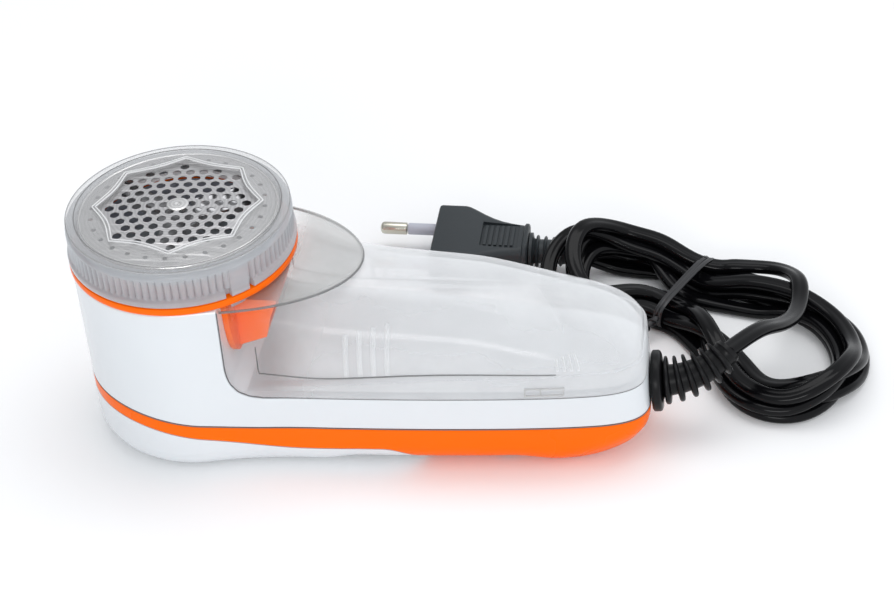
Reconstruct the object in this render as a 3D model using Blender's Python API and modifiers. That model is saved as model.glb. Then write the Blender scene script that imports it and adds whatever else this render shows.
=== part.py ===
"""Corded fabric shaver: a cutting head on an upright motor, a lint box on the handle, and its mains lead.

Units are metres, +Z is up and +X runs along the handle to its tail. The shaver rests on its belly at z = 0.
Lengths along the handle are measured from the head's axis, which the empty head_axis marks, because
everything that turns, turns about it. Run with: blender --background --python part.py
"""

import math

import bmesh
import bpy
from mathutils import Vector
from mathutils.geometry import interpolate_bezier

# Overall sizes
HEAD_R = 0.0308            # outer radius of the drum-shaped head
TAIL = 0.1297              # from the head's axis to the end of the handle
RING_R = 0.0313            # outer radius of the foil ring, the widest turned piece
HEAD_X = -0.0489           # puts the origin under the middle of the shaver without its cord
TAIL_SLOPE = 0.11          # lean of the handle's end, in metres per metre of height
WALL = 0.0020
GAP = 0.0003               # kept between neighbours that touch

# Heights of the head, from the bottom up
HOUSING_TOP = 0.0562
COLLAR_TOP = 0.0586
RING_FOOT = 0.0589
RING_TOP = 0.0690
GUARD_RIM = 0.0704
CHAMBER_FLOOR = 0.0440     # top of the floor between the motor and the cutting chamber
CHAMBER_R = 0.0258

# Lint box
DECK = 0.0258              # top of the handle's deck, which the lint box slides on
BOX_BACK = 0.0152          # the head's flat back, in front of the lint box
BOX_WALL = 0.0014
PLATE_TOP = 0.0556
PLATE_LONG = 0.0496        # half axes of the oval plate around the head
PLATE_WIDE = 0.0274
CHUTE_HALF = 0.0150        # half width of the lint chute

# Fixings and switches
SCREW_SPOTS = ((-0.0150, -0.0152), (-0.0150, 0.0152), (0.0900, -0.0132), (0.0900, 0.0132))
BRACKET_SCREWS = ((0.0, -0.0168), (0.0, 0.0168))
PIN_SPOT = (-0.0273, 0.0)  # the pin that the foil ring's foot holds down or lets up
SWITCH_FROM = 0.0605       # ends of the slider's window
SWITCH_TO = 0.0725

# Motor and drive
CAN_R = 0.0128
CAN_FOOT = 0.0090
CAN_TOP = 0.0400
SHAFT_R = 0.0010
BLADES = 3
FOIL_R = 0.0270
GUARD_SIDES = 8
GUARD_TURN = 0.18          # first corner's place, as a share of the step between corners
FOIL_EDGE_Z = 0.0688       # top of the foil's frame; the foil arches up from it
CUTTER_FOOT = 0.0634

# Mains lead
GLAND_Z = 0.0172
GLAND_R = 0.0086
GLAND_PROFILE = (          # distance along the strain relief's middle line, and radius there
    (0.0000, 0.0062), (0.0018, 0.0062), (0.0019, 0.0048), (0.0068, 0.0048), (0.0069, GLAND_R),
    (0.0092, GLAND_R), (0.0096, 0.0080), (0.0097, 0.0052))
GLAND_STRAIGHT = 0.0098
GLAND_BEND = 0.0230        # radius that the strain relief's sleeve bends to
GLAND_RIBS = 6
GLAND_RIB_FROM = 0.0101
GLAND_RIB_PITCH = 0.0031
GLAND_END = GLAND_RIB_FROM + GLAND_RIB_PITCH * GLAND_RIBS + 0.0008
CORD_R = 0.0021
LEAD_ROUTE = (
    (0.1574, 0.0185, 0.0250), (0.1622, 0.0290, 0.0215), (0.1668, 0.0400, 0.0172),
    (0.1702, 0.0500, 0.0142), (0.1706, 0.0590, 0.0126), (0.1670, 0.0664, 0.0106),
    (0.1600, 0.0700, 0.0086), (0.1535, 0.0690, 0.0070), (0.1504, 0.0677, 0.0064))
TAIL_ROUTE = ((0.1003, 0.0728, 0.0072), (0.1020, 0.0729, 0.0070), (0.1036, 0.0731, 0.0066))
HANK_OUTLINE = (
    (0.1046, 0.0755), (0.1090, 0.0650), (0.1210, 0.0590), (0.1330, 0.0535), (0.1420, 0.0430),
    (0.1460, 0.0260), (0.1540, 0.0100), (0.1690, 0.0040), (0.1830, 0.0110), (0.1905, 0.0270),
    (0.1865, 0.0430), (0.1740, 0.0545), (0.1580, 0.0620), (0.1420, 0.0700), (0.1300, 0.0800),
    (0.1180, 0.0870), (0.1080, 0.0845))
HANK_FOOT = 0.0016
HANK_TOP = 0.0098
PLUG_AT = (0.0576, 0.0728, 0.0072)   # middle of the plug's face

MATERIALS = {
    "white_abs": ((0.86, 0.88, 0.92, 1.0), 0.22, 0.0),
    "orange_abs": ((0.95, 0.19, 0.01, 1.0), 0.28, 0.0),
    "clear_plastic": ((0.80, 0.82, 0.84, 0.35), 0.15, 0.0),
    "foil_steel": ((0.62, 0.62, 0.63, 1.0), 0.25, 1.0),
    "zinc_steel": ((0.55, 0.56, 0.58, 1.0), 0.35, 1.0),
    "brass": ((0.72, 0.55, 0.25, 1.0), 0.30, 1.0),
    "copper": ((0.72, 0.33, 0.16, 1.0), 0.35, 1.0),
    "magnet": ((0.10, 0.10, 0.11, 1.0), 0.70, 0.0),
    "black_plastic": ((0.03, 0.03, 0.035, 1.0), 0.45, 0.0),
    "board_green": ((0.05, 0.22, 0.10, 1.0), 0.50, 0.0),
    "cord_pvc": ((0.012, 0.012, 0.014, 1.0), 0.28, 0.0),
    "plug_pvc": ((0.045, 0.05, 0.055, 1.0), 0.55, 0.0),
    "nickel": ((0.75, 0.73, 0.68, 1.0), 0.25, 1.0),
    "pin_sleeve": ((0.78, 0.78, 0.84, 1.0), 0.40, 0.0),
}


def clear_scene():
    for old in list(bpy.data.objects):
        bpy.data.objects.remove(old, do_unlink=True)


def new_collection(name):
    made = bpy.data.collections.new(name)
    bpy.context.scene.collection.children.link(made)
    return made


clear_scene()
PARTS = new_collection("fabric_shaver")
CUTTERS = new_collection("cutters")
CUTTERS.hide_render = True
AXIS = bpy.data.objects.new("head_axis", None)
AXIS.location = (HEAD_X, 0.0, 0.0)
PARTS.objects.link(AXIS)


def material(node, finish):
    colour, roughness, metallic = MATERIALS[finish]
    made = bpy.data.materials.new(node)
    made.use_nodes = True
    shader = made.node_tree.nodes["Principled BSDF"]
    shader.inputs["Base Color"].default_value = colour
    shader.inputs["Roughness"].default_value = roughness
    shader.inputs["Metallic"].default_value = metallic
    shader.inputs["Alpha"].default_value = colour[3]
    made.diffuse_color = colour
    return made


def place(node, mesh, finish=None, at=(0.0, 0.0, 0.0), turn=(0.0, 0.0, 0.0)):
    """Makes the object of a mesh, as a part with a finish or as a hidden cutter without one."""
    obj = bpy.data.objects.new(node, mesh)
    obj.parent = AXIS
    obj.location = at
    obj.rotation_euler = turn
    if finish is None:
        CUTTERS.objects.link(obj)
        obj.hide_render = True
        obj.display_type = "WIRE"
    else:
        PARTS.objects.link(obj)
        if not mesh.materials:
            mesh.materials.append(material(node, finish))
        mesh.shade_smooth()
        mesh.set_sharp_from_angle(angle=math.radians(35))
    return obj


def mesh_of(name, build):
    """A mesh from a function that fills a bmesh, with its faces turned out."""
    form = bmesh.new()
    build(form)
    bmesh.ops.recalc_face_normals(form, faces=form.faces)
    mesh = bpy.data.meshes.new(name)
    form.to_mesh(mesh)
    form.free()
    return mesh


def box(node, low, high, finish=None, bevel=0.0, turn=(0.0, 0.0, 0.0)):
    size = [b - a for a, b in zip(low, high)]
    centre = [(a + b) / 2 for a, b in zip(low, high)]

    def build(form):
        bmesh.ops.create_cube(form, size=1.0)
        bmesh.ops.scale(form, vec=size, verts=form.verts)

    obj = place(node, mesh_of(node, build), finish, centre, turn)
    if bevel:
        rounding = obj.modifiers.new("edges", "BEVEL")
        rounding.width = bevel
        rounding.segments = 2
    return obj


def cylinder(node, radius, low, high, finish=None, at=(0.0, 0.0), sides=24, along="Z", tip=None):
    """A cylinder or cone between two heights on an upright axis, or between two stations along X or Y."""

    def build(form):
        bmesh.ops.create_cone(
            form, cap_ends=True, segments=sides, radius1=radius, radius2=radius if tip is None else tip,
            depth=high - low)

    middle = (low + high) / 2
    spot = {"Z": (at[0], at[1], middle), "X": (middle, at[0], at[1]), "Y": (at[0], middle, at[1])}[along]
    turn = {"Z": (0, 0, 0), "X": (0, math.pi / 2, 0), "Y": (-math.pi / 2, 0, 0)}[along]
    return place(node, mesh_of(node, build), finish, spot, turn)


def turned(node, profile, finish=None, steps=48, closed=True, at=(0.0, 0.0)):
    """A turned piece on an upright axis: (radius, height) points, down the outer side first."""
    mesh = bpy.data.meshes.new(node)
    edges = [(i, i + 1) for i in range(len(profile) - 1)]
    if closed:
        edges.append((len(profile) - 1, 0))
    mesh.from_pydata([(r, 0.0, z) for r, z in profile], edges, [])
    obj = place(node, mesh, finish, (at[0], at[1], 0.0))
    screw = obj.modifiers.new("turn", "SCREW")
    screw.steps = screw.render_steps = steps
    screw.use_merge_vertices = True
    screw.merge_threshold = 1e-5
    return obj


def prism(node, outline, low, high, finish=None, along="Z"):
    """A flat outline with thickness: (x, y) points raised along Z, or (x, z) points run along Y."""
    curve = bpy.data.curves.new(node, "CURVE")
    curve.dimensions = "2D"
    curve.fill_mode = "BOTH"
    curve.extrude = (high - low) / 2
    spline = curve.splines.new("POLY")
    spline.points.add(len(outline) - 1)
    for point, (x, y) in zip(spline.points, outline):
        point.co = (x, y, 0.0, 1.0)
    spline.use_cyclic_u = True
    guide = bpy.data.objects.new(node + "_outline", curve)
    PARTS.objects.link(guide)
    mesh = bpy.data.meshes.new_from_object(guide.evaluated_get(bpy.context.evaluated_depsgraph_get()))
    bpy.data.objects.remove(guide)
    form = bmesh.new()
    form.from_mesh(mesh)
    bmesh.ops.remove_doubles(form, verts=form.verts, dist=1e-6)
    bmesh.ops.recalc_face_normals(form, faces=form.faces)
    form.to_mesh(mesh)
    form.free()
    middle = (low + high) / 2
    if along == "Z":
        return place(node, mesh, finish, (0.0, 0.0, middle))
    return place(node, mesh, finish, (0.0, middle, 0.0), (math.pi / 2, 0.0, 0.0))


def cut(target, *others, operation="DIFFERENCE"):
    for other in others:
        step = target.modifiers.new(other.name[:40], "BOOLEAN")
        step.operation = operation
        step.object = other
    return target


def join(target, *others):
    return cut(target, *others, operation="UNION")


def bezier(start, start_pull, end_pull, end, steps):
    flat = [Vector((*point, 0.0)) for point in (start, start_pull, end_pull, end)]
    return [(p.x, p.y) for p in interpolate_bezier(*flat, steps)]


def smooth(value):
    value = min(max(value, 0.0), 1.0)
    return value * value * (3 - 2 * value)


# The shape of the casing

def half_outline():
    """One side of the casing's plan: around the head, along the handle and across the tail."""
    turn_end = math.radians(75)
    arc = []
    for i in range(15):
        angle = math.pi - (math.pi - turn_end) * i / 14
        arc.append((HEAD_R * math.cos(angle), HEAD_R * math.sin(angle)))
    shoulder = arc[-1]
    waist = bezier(shoulder, (0.0165, 0.0275), (0.0240, 0.0262), (0.0360, 0.0256), 6)
    flank = bezier(waist[-1], (0.0640, 0.0243), (0.0960, 0.0218), (0.1150, 0.0184), 9)
    corner = bezier(flank[-1], (0.1240, 0.0166), (TAIL - 0.0004, 0.0140), (TAIL - 0.0002, 0.0070), 7)
    return arc + waist[1:] + flank[1:] + corner[1:] + [(TAIL, 0.0)]


HALF = half_outline()


def plan(inset=0.0, start=None):
    """The whole plan, moved in by inset: near side first, then back along the far side.

    Deep insets, as around the bottom edge, are shallower in the tight corners of the tail.
    """
    moved = []
    last = len(HALF) - 1
    for i, (x, y) in enumerate(HALF):
        before, after = HALF[max(i - 1, 0)], HALF[min(i + 1, last)]
        run = Vector((after[0] - before[0], after[1] - before[1])).normalized()
        if i in (0, last):
            run = Vector((0.0, 1.0 if i == 0 else -1.0))
        depth = min(inset, 0.0025) + max(inset - 0.0025, 0.0) * (1 - 0.5 * smooth((x - 0.098) / 0.020))
        moved.append((x + run.y * depth, y - run.x * depth))
    if start is not None:
        kept = [point for point in moved if point[0] > start + 0.001]
        edge = next(y for x, y in moved if x > start)
        moved = [(start, 0.0), (start, edge * 0.5), (start, edge)] + kept
    near = [(x, -y) for x, y in moved]
    return near + moved[-2:0:-1]


def tail_lean(x, z):
    """How far the sloping end of the handle lies in from TAIL at a height."""
    return TAIL_SLOPE * max(z - 0.0100, 0.0) * smooth((x - 0.100) / 0.028)


def top_line(x):
    """Top edge of the orange band, where it meets the white housing."""
    return 0.0152 + 0.0060 * smooth((0.0260 - x) / 0.048)


def low_line(x):
    """Bottom edge of the orange band, where it meets the belly cover."""
    return 0.0078 + 0.0092 * smooth((0.0360 - x) / 0.056) - 0.0140 * smooth((x - 0.056) / 0.026)


def bottom_line(x):
    """Underside along the handle: flat belly, shallow hollow, foot, and the rise to the tail."""
    hollow = 0.0014 * smooth((x - 0.038) / 0.012) * smooth((0.104 - x) / 0.012)
    return hollow + 0.0068 * smooth((x - 0.104) / 0.032)


def ring_of(form, inset, height, start=None):
    """One level of a casing: the plan at an inset, at a height that may change along the handle."""
    made = []
    for x, y in plan(inset, start):
        z = height(x) if callable(height) else height
        made.append(form.verts.new((x - tail_lean(x, z), y, z)))
    return made


def bridge(form, ring, other):
    count = len(ring)
    for i in range(count):
        j = (i + 1) % count
        form.faces.new((ring[i], ring[j], other[j], other[i]))


def cap(form, ring):
    """Closes a level with strips across it, from each point to its mirror image."""
    count = len(ring)
    form.faces.new((ring[0], ring[1], ring[-1]))
    for i in range(1, count // 2 - 1):
        form.faces.new((ring[i], ring[i + 1], ring[count - i - 1], ring[count - i]))
    form.faces.new((ring[count // 2 - 1], ring[count // 2], ring[count // 2 + 1]))


def casing(name, levels, finish=None, start=None):
    """A casing piece from its levels, closed by strips at both ends."""

    def build(form):
        rings = [ring_of(form, inset, height, start) for inset, height in levels]
        cap(form, rings[0])
        for ring, other in zip(rings, rings[1:]):
            bridge(form, ring, other)
        cap(form, rings[-1])

    return place(name, mesh_of(name, build), finish)


def side_cutter(name, outline):
    """A cutter right across the shaver, from an outline seen from the side."""
    return prism(name, outline, -0.045, 0.045, along="Y")


def edge_points(line, start, end, count, rise=0.0):
    return [(x, line(x) + rise) for x in (start + (end - start) * i / count for i in range(count + 1))]




def main_housing():
    """White shell: the head's drum, the flat back behind it and the handle's deck."""
    shell = casing("main_housing", [(0.0, lambda x: top_line(x) + GAP / 2), (0.0, HOUSING_TOP)], "white_abs")
    box_space = side_cutter("lint_box_space", [
        (BOX_BACK, 0.0700), (BOX_BACK, 0.0360), (BOX_BACK + 0.0010, 0.0305), (BOX_BACK + 0.0038, 0.0272),
        (BOX_BACK + 0.0090, DECK), (0.1600, DECK), (0.1600, 0.0700)])
    inside = casing("handle_inside", [(WALL, 0.0050), (WALL, DECK - WALL)])
    motor_bay = cylinder("motor_bay", HEAD_R - WALL - 0.0008, 0.0060, CHAMBER_FLOOR - WALL, sides=48)
    cut(motor_bay, box("motor_bay_back", (BOX_BACK - WALL, -0.040, DECK - 0.0040), (0.060, 0.040, 0.060)))
    chamber = cylinder("cutting_chamber", CHAMBER_R, CHAMBER_FLOOR, 0.0800, sides=48)
    cut(chamber, box("chamber_back", (BOX_BACK - WALL, -0.040, 0.020), (0.060, 0.040, 0.090)))
    mouth = box("chute_mouth", (0.0100, -0.0125, CHAMBER_FLOOR + 0.0004), (0.0300, 0.0125, 0.0500))
    cut(shell, box_space, inside, motor_bay, chamber, mouth)
    for i, (x, y) in enumerate(SCREW_SPOTS):
        top = CHAMBER_FLOOR - 0.0010 if x < 0 else DECK - 0.0010
        foot = 0.0033 if x < 0 else 0.0046
        join(shell, cylinder(f"boss_{i + 1}", 0.0031, foot, top, at=(x, y), sides=16))
        cut(shell, cylinder(f"pilot_{i + 1}", 0.0012, foot - 0.001, foot + 0.0100, at=(x, y), sides=12))
    for i, (x, y) in enumerate(BRACKET_SCREWS):
        cut(shell, cylinder(f"bracket_pilot_{i + 1}", 0.0010, 0.0410, 0.0450, at=(x, y), sides=12))
    cut(shell, cylinder("shaft_hole", 0.0049, 0.0300, 0.0500))
    cut(shell, cylinder("pin_bore", 0.0011, 0.0400, 0.0600, at=PIN_SPOT, sides=12))
    cut(shell, gland_cutter())
    return cut(shell, box("switch_window", (SWITCH_FROM, 0.0180, 0.0176), (SWITCH_TO, 0.0300, 0.0222)))


def gland_cutter():
    name = "gland_hole"
    if name in bpy.data.objects:
        return bpy.data.objects[name]
    return cylinder(name, 0.0052, 0.1100, 0.1500, at=(0.0, GLAND_Z), along="X")


def lower_dish(node, finish):
    """The casing below the white housing, all round: rounded bottom edge, floor and upright rim."""

    def above(rise):
        return lambda x: bottom_line(x) + rise

    return casing(node, [
        (0.0080, above(0.0)), (0.0048, above(0.0007)), (0.0024, above(0.0023)), (0.0007, above(0.0048)),
        (0.0, above(0.0080)), (0.0, lambda x: top_line(x) - GAP / 2),
        (WALL, lambda x: top_line(x) - GAP / 2), (WALL, above(0.0086)), (0.0044, above(0.0036)),
        (0.0084, above(WALL))], finish)


def base_shell():
    """Orange shell: a band around the head that widens into the whole underside of the tail."""
    shell = lower_dish("base_shell", "orange_abs")
    line = edge_points(low_line, -0.050, 0.100, 24, GAP / 2)
    cut(shell, side_cutter("below_band", [(-0.050, -0.010), *line[:-1], (0.100, -0.010)]))
    for i, (x, y) in enumerate(SCREW_SPOTS[2:]):
        cut(shell, cylinder(f"base_hole_{i + 1}", 0.0016, -0.010, 0.010, at=(x, y), sides=12))
        cut(shell, cylinder(f"base_recess_{i + 1}", 0.0031, -0.010, 0.0025, at=(x, y), sides=16))
    return cut(shell, gland_cutter())


def belly_cover():
    """White dish under the head and the front of the handle."""
    shell = lower_dish("belly_cover", "white_abs")
    line = edge_points(low_line, -0.050, 0.100, 24, -GAP / 2)
    cut(shell, side_cutter("above_belly", [*line, (0.150, -0.010), (0.150, 0.060), (-0.050, 0.060)]))
    for i, (x, y) in enumerate(SCREW_SPOTS[:2]):
        join(shell, cylinder(f"belly_boss_{i + 1}", 0.0046, 0.0010, 0.0030, at=(x, y), sides=16))
        cut(shell, cylinder(f"belly_hole_{i + 1}", 0.0016, -0.010, 0.006, at=(x, y), sides=12))
        cut(shell, cylinder(f"belly_recess_{i + 1}", 0.0031, -0.010, 0.0016, at=(x, y), sides=16))
    for i in range(5):
        x = 0.0080 + 0.0060 * i
        cut(shell, box(f"vent_{i + 1}", (x, -0.0100, -0.010), (x + 0.0022, 0.0100, 0.0060)))
    return shell


def housing_screws():
    for i, (x, y) in enumerate(SCREW_SPOTS):
        seat = 0.0013 if x < 0 else 0.0022
        turned(f"housing_screw_{i + 1}", [
            (0.0, seat + 0.0100), (0.0009, seat + 0.0094), (0.0009, seat), (0.0026, seat - 0.0002),
            (0.0024, seat - 0.0011), (0.0, seat - 0.0011)], "zinc_steel", 12, False, (x, y))


def head_collar():
    """Orange ring on top of the drum, with the neck that the foil ring turns on."""
    foot = HOUSING_TOP + GAP
    collar = turned("head_collar", [
        (0.0259, 0.0625), (0.0259, COLLAR_TOP), (0.0310, COLLAR_TOP), (RING_R, COLLAR_TOP - 0.0004),
        (RING_R, foot), (0.0250, foot), (0.0250, 0.0625)], "orange_abs")
    for i, angle in enumerate((24, 30)):
        at = (0.0306 * math.cos(math.radians(angle)), 0.0306 * math.sin(math.radians(angle)))
        cut(collar, cylinder(f"lock_mark_{i + 1}", 0.0006, COLLAR_TOP - 0.0004, 0.0600, at=at, sides=10))
    return cut(collar, bpy.data.objects["pin_bore"])


def lint_chute():
    """Orange scoop on the head's flat back, which turns the lint down into the box."""
    back = BOX_BACK + GAP
    chute = prism("lint_chute", [
        (back, 0.0345), (0.0245, 0.0382), (0.0262, 0.0450), (0.0285, 0.0508), (back, 0.0508)],
        -CHUTE_HALF, CHUTE_HALF, "orange_abs", "Y")
    duct = prism("chute_duct", [
        (0.0100, 0.0446), (0.0225, 0.0402), (0.0420, 0.0440), (0.0420, 0.0496), (0.0100, 0.0496)],
        -CHUTE_HALF + 0.0013, CHUTE_HALF - 0.0013, along="Y")
    return cut(chute, duct)


# The lint box

def ridge_line(x):
    """Top of the lint box's dome along its middle."""
    return 0.0543 - 0.0014 * smooth((x - 0.046) / 0.012) - 0.060 * max(x - 0.058, 0.0) - 0.0022 * smooth(
        (x - 0.076) / 0.026)


def dome_rings(form, inset, thickness, start, foot):
    """Levels of the lint box: upright rim, ledge, then arcs that rise from the ledge to the ridge."""
    ridge_end = 0.0970
    ledge = RING_R - thickness
    rings = []
    for extra, height in ((0.0, foot), (0.0, ledge - 0.0004), (0.0009, ledge)):
        rings.append(ring_of(form, inset + extra, height, start))
    base = plan(inset + 0.0009, start)
    for degrees in (10, 22, 36, 50, 64, 76, 85):
        angle = math.radians(degrees)
        level = []
        for x, y in base:
            top_x = min(x, ridge_end)
            power = 2 / (2.1 + 2.9 * smooth((0.046 - x) / 0.030))
            inward, upward = math.cos(angle) ** power, math.sin(angle) ** power
            height = ledge + (ridge_line(top_x) - thickness - ledge) * upward
            level.append(form.verts.new((
                top_x + (x - top_x) * inward - tail_lean(x, ledge) * inward, y * inward, height)))
        rings.append(level)
    return rings


def dome(name, inset, thickness, start, foot, finish=None):

    def build(form):
        rings = dome_rings(form, inset, thickness, start, foot)
        cap(form, rings[0])
        for ring, other in zip(rings, rings[1:]):
            bridge(form, ring, other)
        cap(form, rings[-1])

    return place(name, mesh_of(name, build), finish)


def lint_container():
    """Clear box that slides off over the tail: floor, rim, dome and the oval plate around the head."""
    front = BOX_BACK + GAP
    shell = dome("lint_container", 0.0, 0.0, front - 0.0040, DECK + GAP, "clear_plastic")
    reach = math.acos((front - 0.0020) / PLATE_LONG)
    oval = [(PLATE_LONG * math.cos(reach * i / 15), PLATE_WIDE * math.sin(reach * i / 15))
            for i in range(-15, 16)]
    join(shell, prism("plate_blank", oval, PLATE_TOP - 0.0016, PLATE_TOP))
    cut(shell, side_cutter("box_front", [
        (0.0, 0.0100), (0.0, 0.0800), (front, 0.0800), (front, 0.0360), (front + 0.0010, 0.0307),
        (front + 0.0038, 0.0275), (front + 0.0090, DECK + GAP + 0.0001), (front + 0.0090, 0.0100)]))
    cut(shell, dome("box_inside", BOX_WALL, BOX_WALL, 0.0050, DECK + GAP + BOX_WALL))
    return shell


# The motor, from its can to the drive hub

def motor():
    turned("motor_can", [
        (CAN_R - 0.0006, CAN_TOP), (CAN_R, CAN_TOP - 0.0006), (CAN_R, CAN_FOOT), (0.0120, CAN_FOOT),
        (0.0120, CAN_TOP - 0.0008), (0.0016, CAN_TOP - 0.0008), (0.0016, CAN_TOP)], "zinc_steel", 32)
    turned("motor_end_cap", [
        (0.0126, 0.0087), (0.0126, 0.0070), (0.0112, 0.0058), (0.0034, 0.0058), (0.0034, 0.0087)],
        "black_plastic", 32)
    turned("upper_bearing", [
        (0.0030, 0.0446), (0.0030, 0.0420), (0.0040, 0.0420), (0.0040, 0.0403), (0.0013, 0.0403),
        (0.0013, 0.0446)], "brass", 20)
    turned("lower_bearing", [
        (0.0031, 0.0087), (0.0031, 0.0060), (0.0013, 0.0060), (0.0013, 0.0087)], "brass", 20)
    for side, which in ((-1, "near"), (1, "far")):
        arc = [(math.radians(20 + 140 * i / 10) * side) for i in range(11)]
        outline = [(0.0117 * math.cos(a), 0.0117 * math.sin(a)) for a in arc]
        outline += [(0.0104 * math.cos(a), 0.0104 * math.sin(a)) for a in reversed(arc)]
        prism(f"magnet_{which}", outline, 0.0140, 0.0360, "magnet")
        y = sorted((side * 0.0034, side * 0.0066))
        box(f"brush_{which}", (-0.0012, y[0], 0.0116), (0.0012, y[1], 0.0142), "magnet")
    bracket = box("motor_bracket", (-0.0070, -0.0200, 0.0403), (0.0070, 0.0200, 0.0414), "zinc_steel")
    cut(bracket, cylinder("bracket_middle", 0.0044, 0.0380, 0.0450))
    for i, (x, y) in enumerate(BRACKET_SCREWS):
        cut(bracket, cylinder(f"bracket_hole_{i + 1}", 0.0011, 0.0380, 0.0450, at=(x, y), sides=12))
        turned(f"bracket_screw_{i + 1}", [
            (0.0, 0.0437), (0.0007, 0.0432), (0.0007, 0.0400), (0.0018, 0.0400), (0.0016, 0.0389),
            (0.0, 0.0389)], "zinc_steel", 12, False, (x, y))


def rotor():
    cylinder("motor_shaft", SHAFT_R, 0.0050, 0.0530, "zinc_steel", sides=16)
    teeth = []
    for i in range(48):
        angle = math.tau * i / 48
        in_slot = i % 16 in (0, 1)
        reach = 0.0060 if in_slot else 0.0099
        teeth.append((reach * math.cos(angle), reach * math.sin(angle)))
    core = prism("armature_core", teeth, 0.0160, 0.0340, "copper")
    cut(core, cylinder("core_bore", 0.0013, 0.0100, 0.0400, sides=16))
    turned("commutator", [
        (0.0031, 0.0154), (0.0031, 0.0112), (0.0013, 0.0112), (0.0013, 0.0154)], "copper", 18)
    turned("drive_hub", [
        (0.0019, CUTTER_FOOT + 0.0014), (0.0019, 0.0536), (0.0045, 0.0532), (0.0045, 0.0480),
        (0.0013, 0.0480), (0.0013, CUTTER_FOOT + 0.0014)], "white_abs", 24)


def blade_carrier():
    """Black hub that floats on the drive peg, with an arm under each blade."""
    foot = CUTTER_FOOT
    carrier = turned("blade_carrier", [
        (0.0, foot + 0.0058), (0.0028, foot + 0.0058), (0.0034, foot + 0.0052), (0.0034, foot + 0.0034),
        (0.0058, foot + 0.0032), (0.0058, foot), (0.0022, foot), (0.0022, foot + 0.0024),
        (0.0, foot + 0.0024)], "black_plastic", 24, False)
    for i in range(BLADES):
        angle = math.tau * (i + 0.25) / BLADES
        arm = box(f"arm_{i + 1}", (-0.0085, -0.0020, -0.0011), (0.0085, 0.0020, 0.0011))
        arm.location = (0.0125 * math.cos(angle), 0.0125 * math.sin(angle), foot + 0.0019)
        arm.rotation_euler = (0.0, 0.0, angle)
        join(carrier, arm)
    return carrier


def blades():
    for i in range(BLADES):
        angle = math.tau * (i + 0.25) / BLADES
        blade = box(f"blade_{i + 1}", (-0.0097, -0.0034, -0.0003), (0.0097, 0.0034, 0.0003), "foil_steel")
        blade.location = (0.0140 * math.cos(angle), 0.0140 * math.sin(angle), CUTTER_FOOT + 0.0043)
        blade.rotation_euler = (math.radians(14), 0.0, angle)


def wire(node, route, radius, finish, sides=2, radii=None):
    """A round wire or cable through the points of a route, with its ends closed."""
    curve = bpy.data.curves.new(node, "CURVE")
    curve.dimensions = "3D"
    curve.bevel_depth = radius
    curve.bevel_resolution = sides
    curve.use_fill_caps = True
    spline = curve.splines.new("POLY")
    spline.points.add(len(route) - 1)
    for i, point in enumerate(route):
        spline.points[i].co = (*point, 1.0)
        spline.points[i].radius = radii[i] / radius if radii else 1.0
    obj = bpy.data.objects.new(node, curve)
    obj.parent = AXIS
    PARTS.objects.link(obj)
    curve.materials.append(material(node, finish))
    return obj


def cutter_spring():
    turns, low, high = 4, 0.0541, CUTTER_FOOT - 0.0005
    route = [(0.0030 * math.cos(math.tau * i / 10), 0.0030 * math.sin(math.tau * i / 10),
              low + (high - low) * i / (10 * turns)) for i in range(10 * turns + 1)]
    return wire("cutter_spring", route, 0.00028, "zinc_steel", 1)


# The foil ring and its guard

def foil_ring():
    """Clear ring that twists onto the collar and holds the foil; a pocket in its foot clears the pin."""
    ring = turned("foil_ring", [
        (0.0294, RING_TOP), (0.0304, 0.0684), (0.0309, 0.0672), (0.0309, 0.0612), (RING_R, 0.0608),
        (RING_R, RING_FOOT), (0.0264, RING_FOOT), (0.0264, 0.0640), (0.0277, 0.0640), (0.0277, RING_TOP)],
        "clear_plastic", 60)
    start, end = math.radians(180 - 33), math.radians(180 - 2.5)
    pocket = [(0.0258 * math.cos(a), 0.0258 * math.sin(a)) for a in (start, end)]
    back = [end + (start - end) * i / 6 for i in range(7)]
    pocket += [(0.0292 * math.cos(a), 0.0292 * math.sin(a)) for a in back]
    return cut(ring, prism("pin_pocket", pocket, 0.0570, RING_FOOT + 0.0016))


def foil():
    turned("foil_frame", [
        (0.0274, FOIL_EDGE_Z), (0.0274, 0.0643), (0.0262, 0.0643), (0.0262, FOIL_EDGE_Z)],
        "foil_steel", 36)
    under = [(FOIL_R * i / 3, FOIL_EDGE_Z + GAP + 0.0013 * (1 - (i / 3) ** 2)) for i in range(3, -1, -1)]
    over = [(radius, height + 0.0003) for radius, height in reversed(under)]
    turned("foil", over + under, "foil_steel", 48, False)


def guard_cap():
    """Clear guard over the foil: raised rim, annulus and an eight-sided opening with hollow sides."""
    guard = turned("guard_cap", [
        (0.0292, GUARD_RIM), (0.0300, 0.0702), (0.0304, 0.0698), (0.0304, RING_TOP + GAP),
        (0.0284, RING_TOP + GAP), (0.0278, 0.0698), (0.0120, 0.0708), (0.0120, 0.0714),
        (0.0276, 0.0702), (0.0284, GUARD_RIM)],
        "clear_plastic", 60)
    opening = []
    for i in range(GUARD_SIDES):
        corner, following = (math.tau * (i + k + GUARD_TURN) / GUARD_SIDES for k in (0, 1))
        for step in range(5):
            share = step / 5
            angle = corner + (following - corner) * share
            half = math.pi / GUARD_SIDES
            side = 0.0222 * math.cos(half) / math.cos((share - 0.5) * 2 * half)
            opening.append(((side - 0.0011 * math.sin(math.pi * share)) * math.cos(angle),
                            (side - 0.0011 * math.sin(math.pi * share)) * math.sin(angle)))
    return cut(guard, prism("guard_opening", opening, 0.0600, 0.0800))


# Switches, electrics and the cord's anchor

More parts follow.
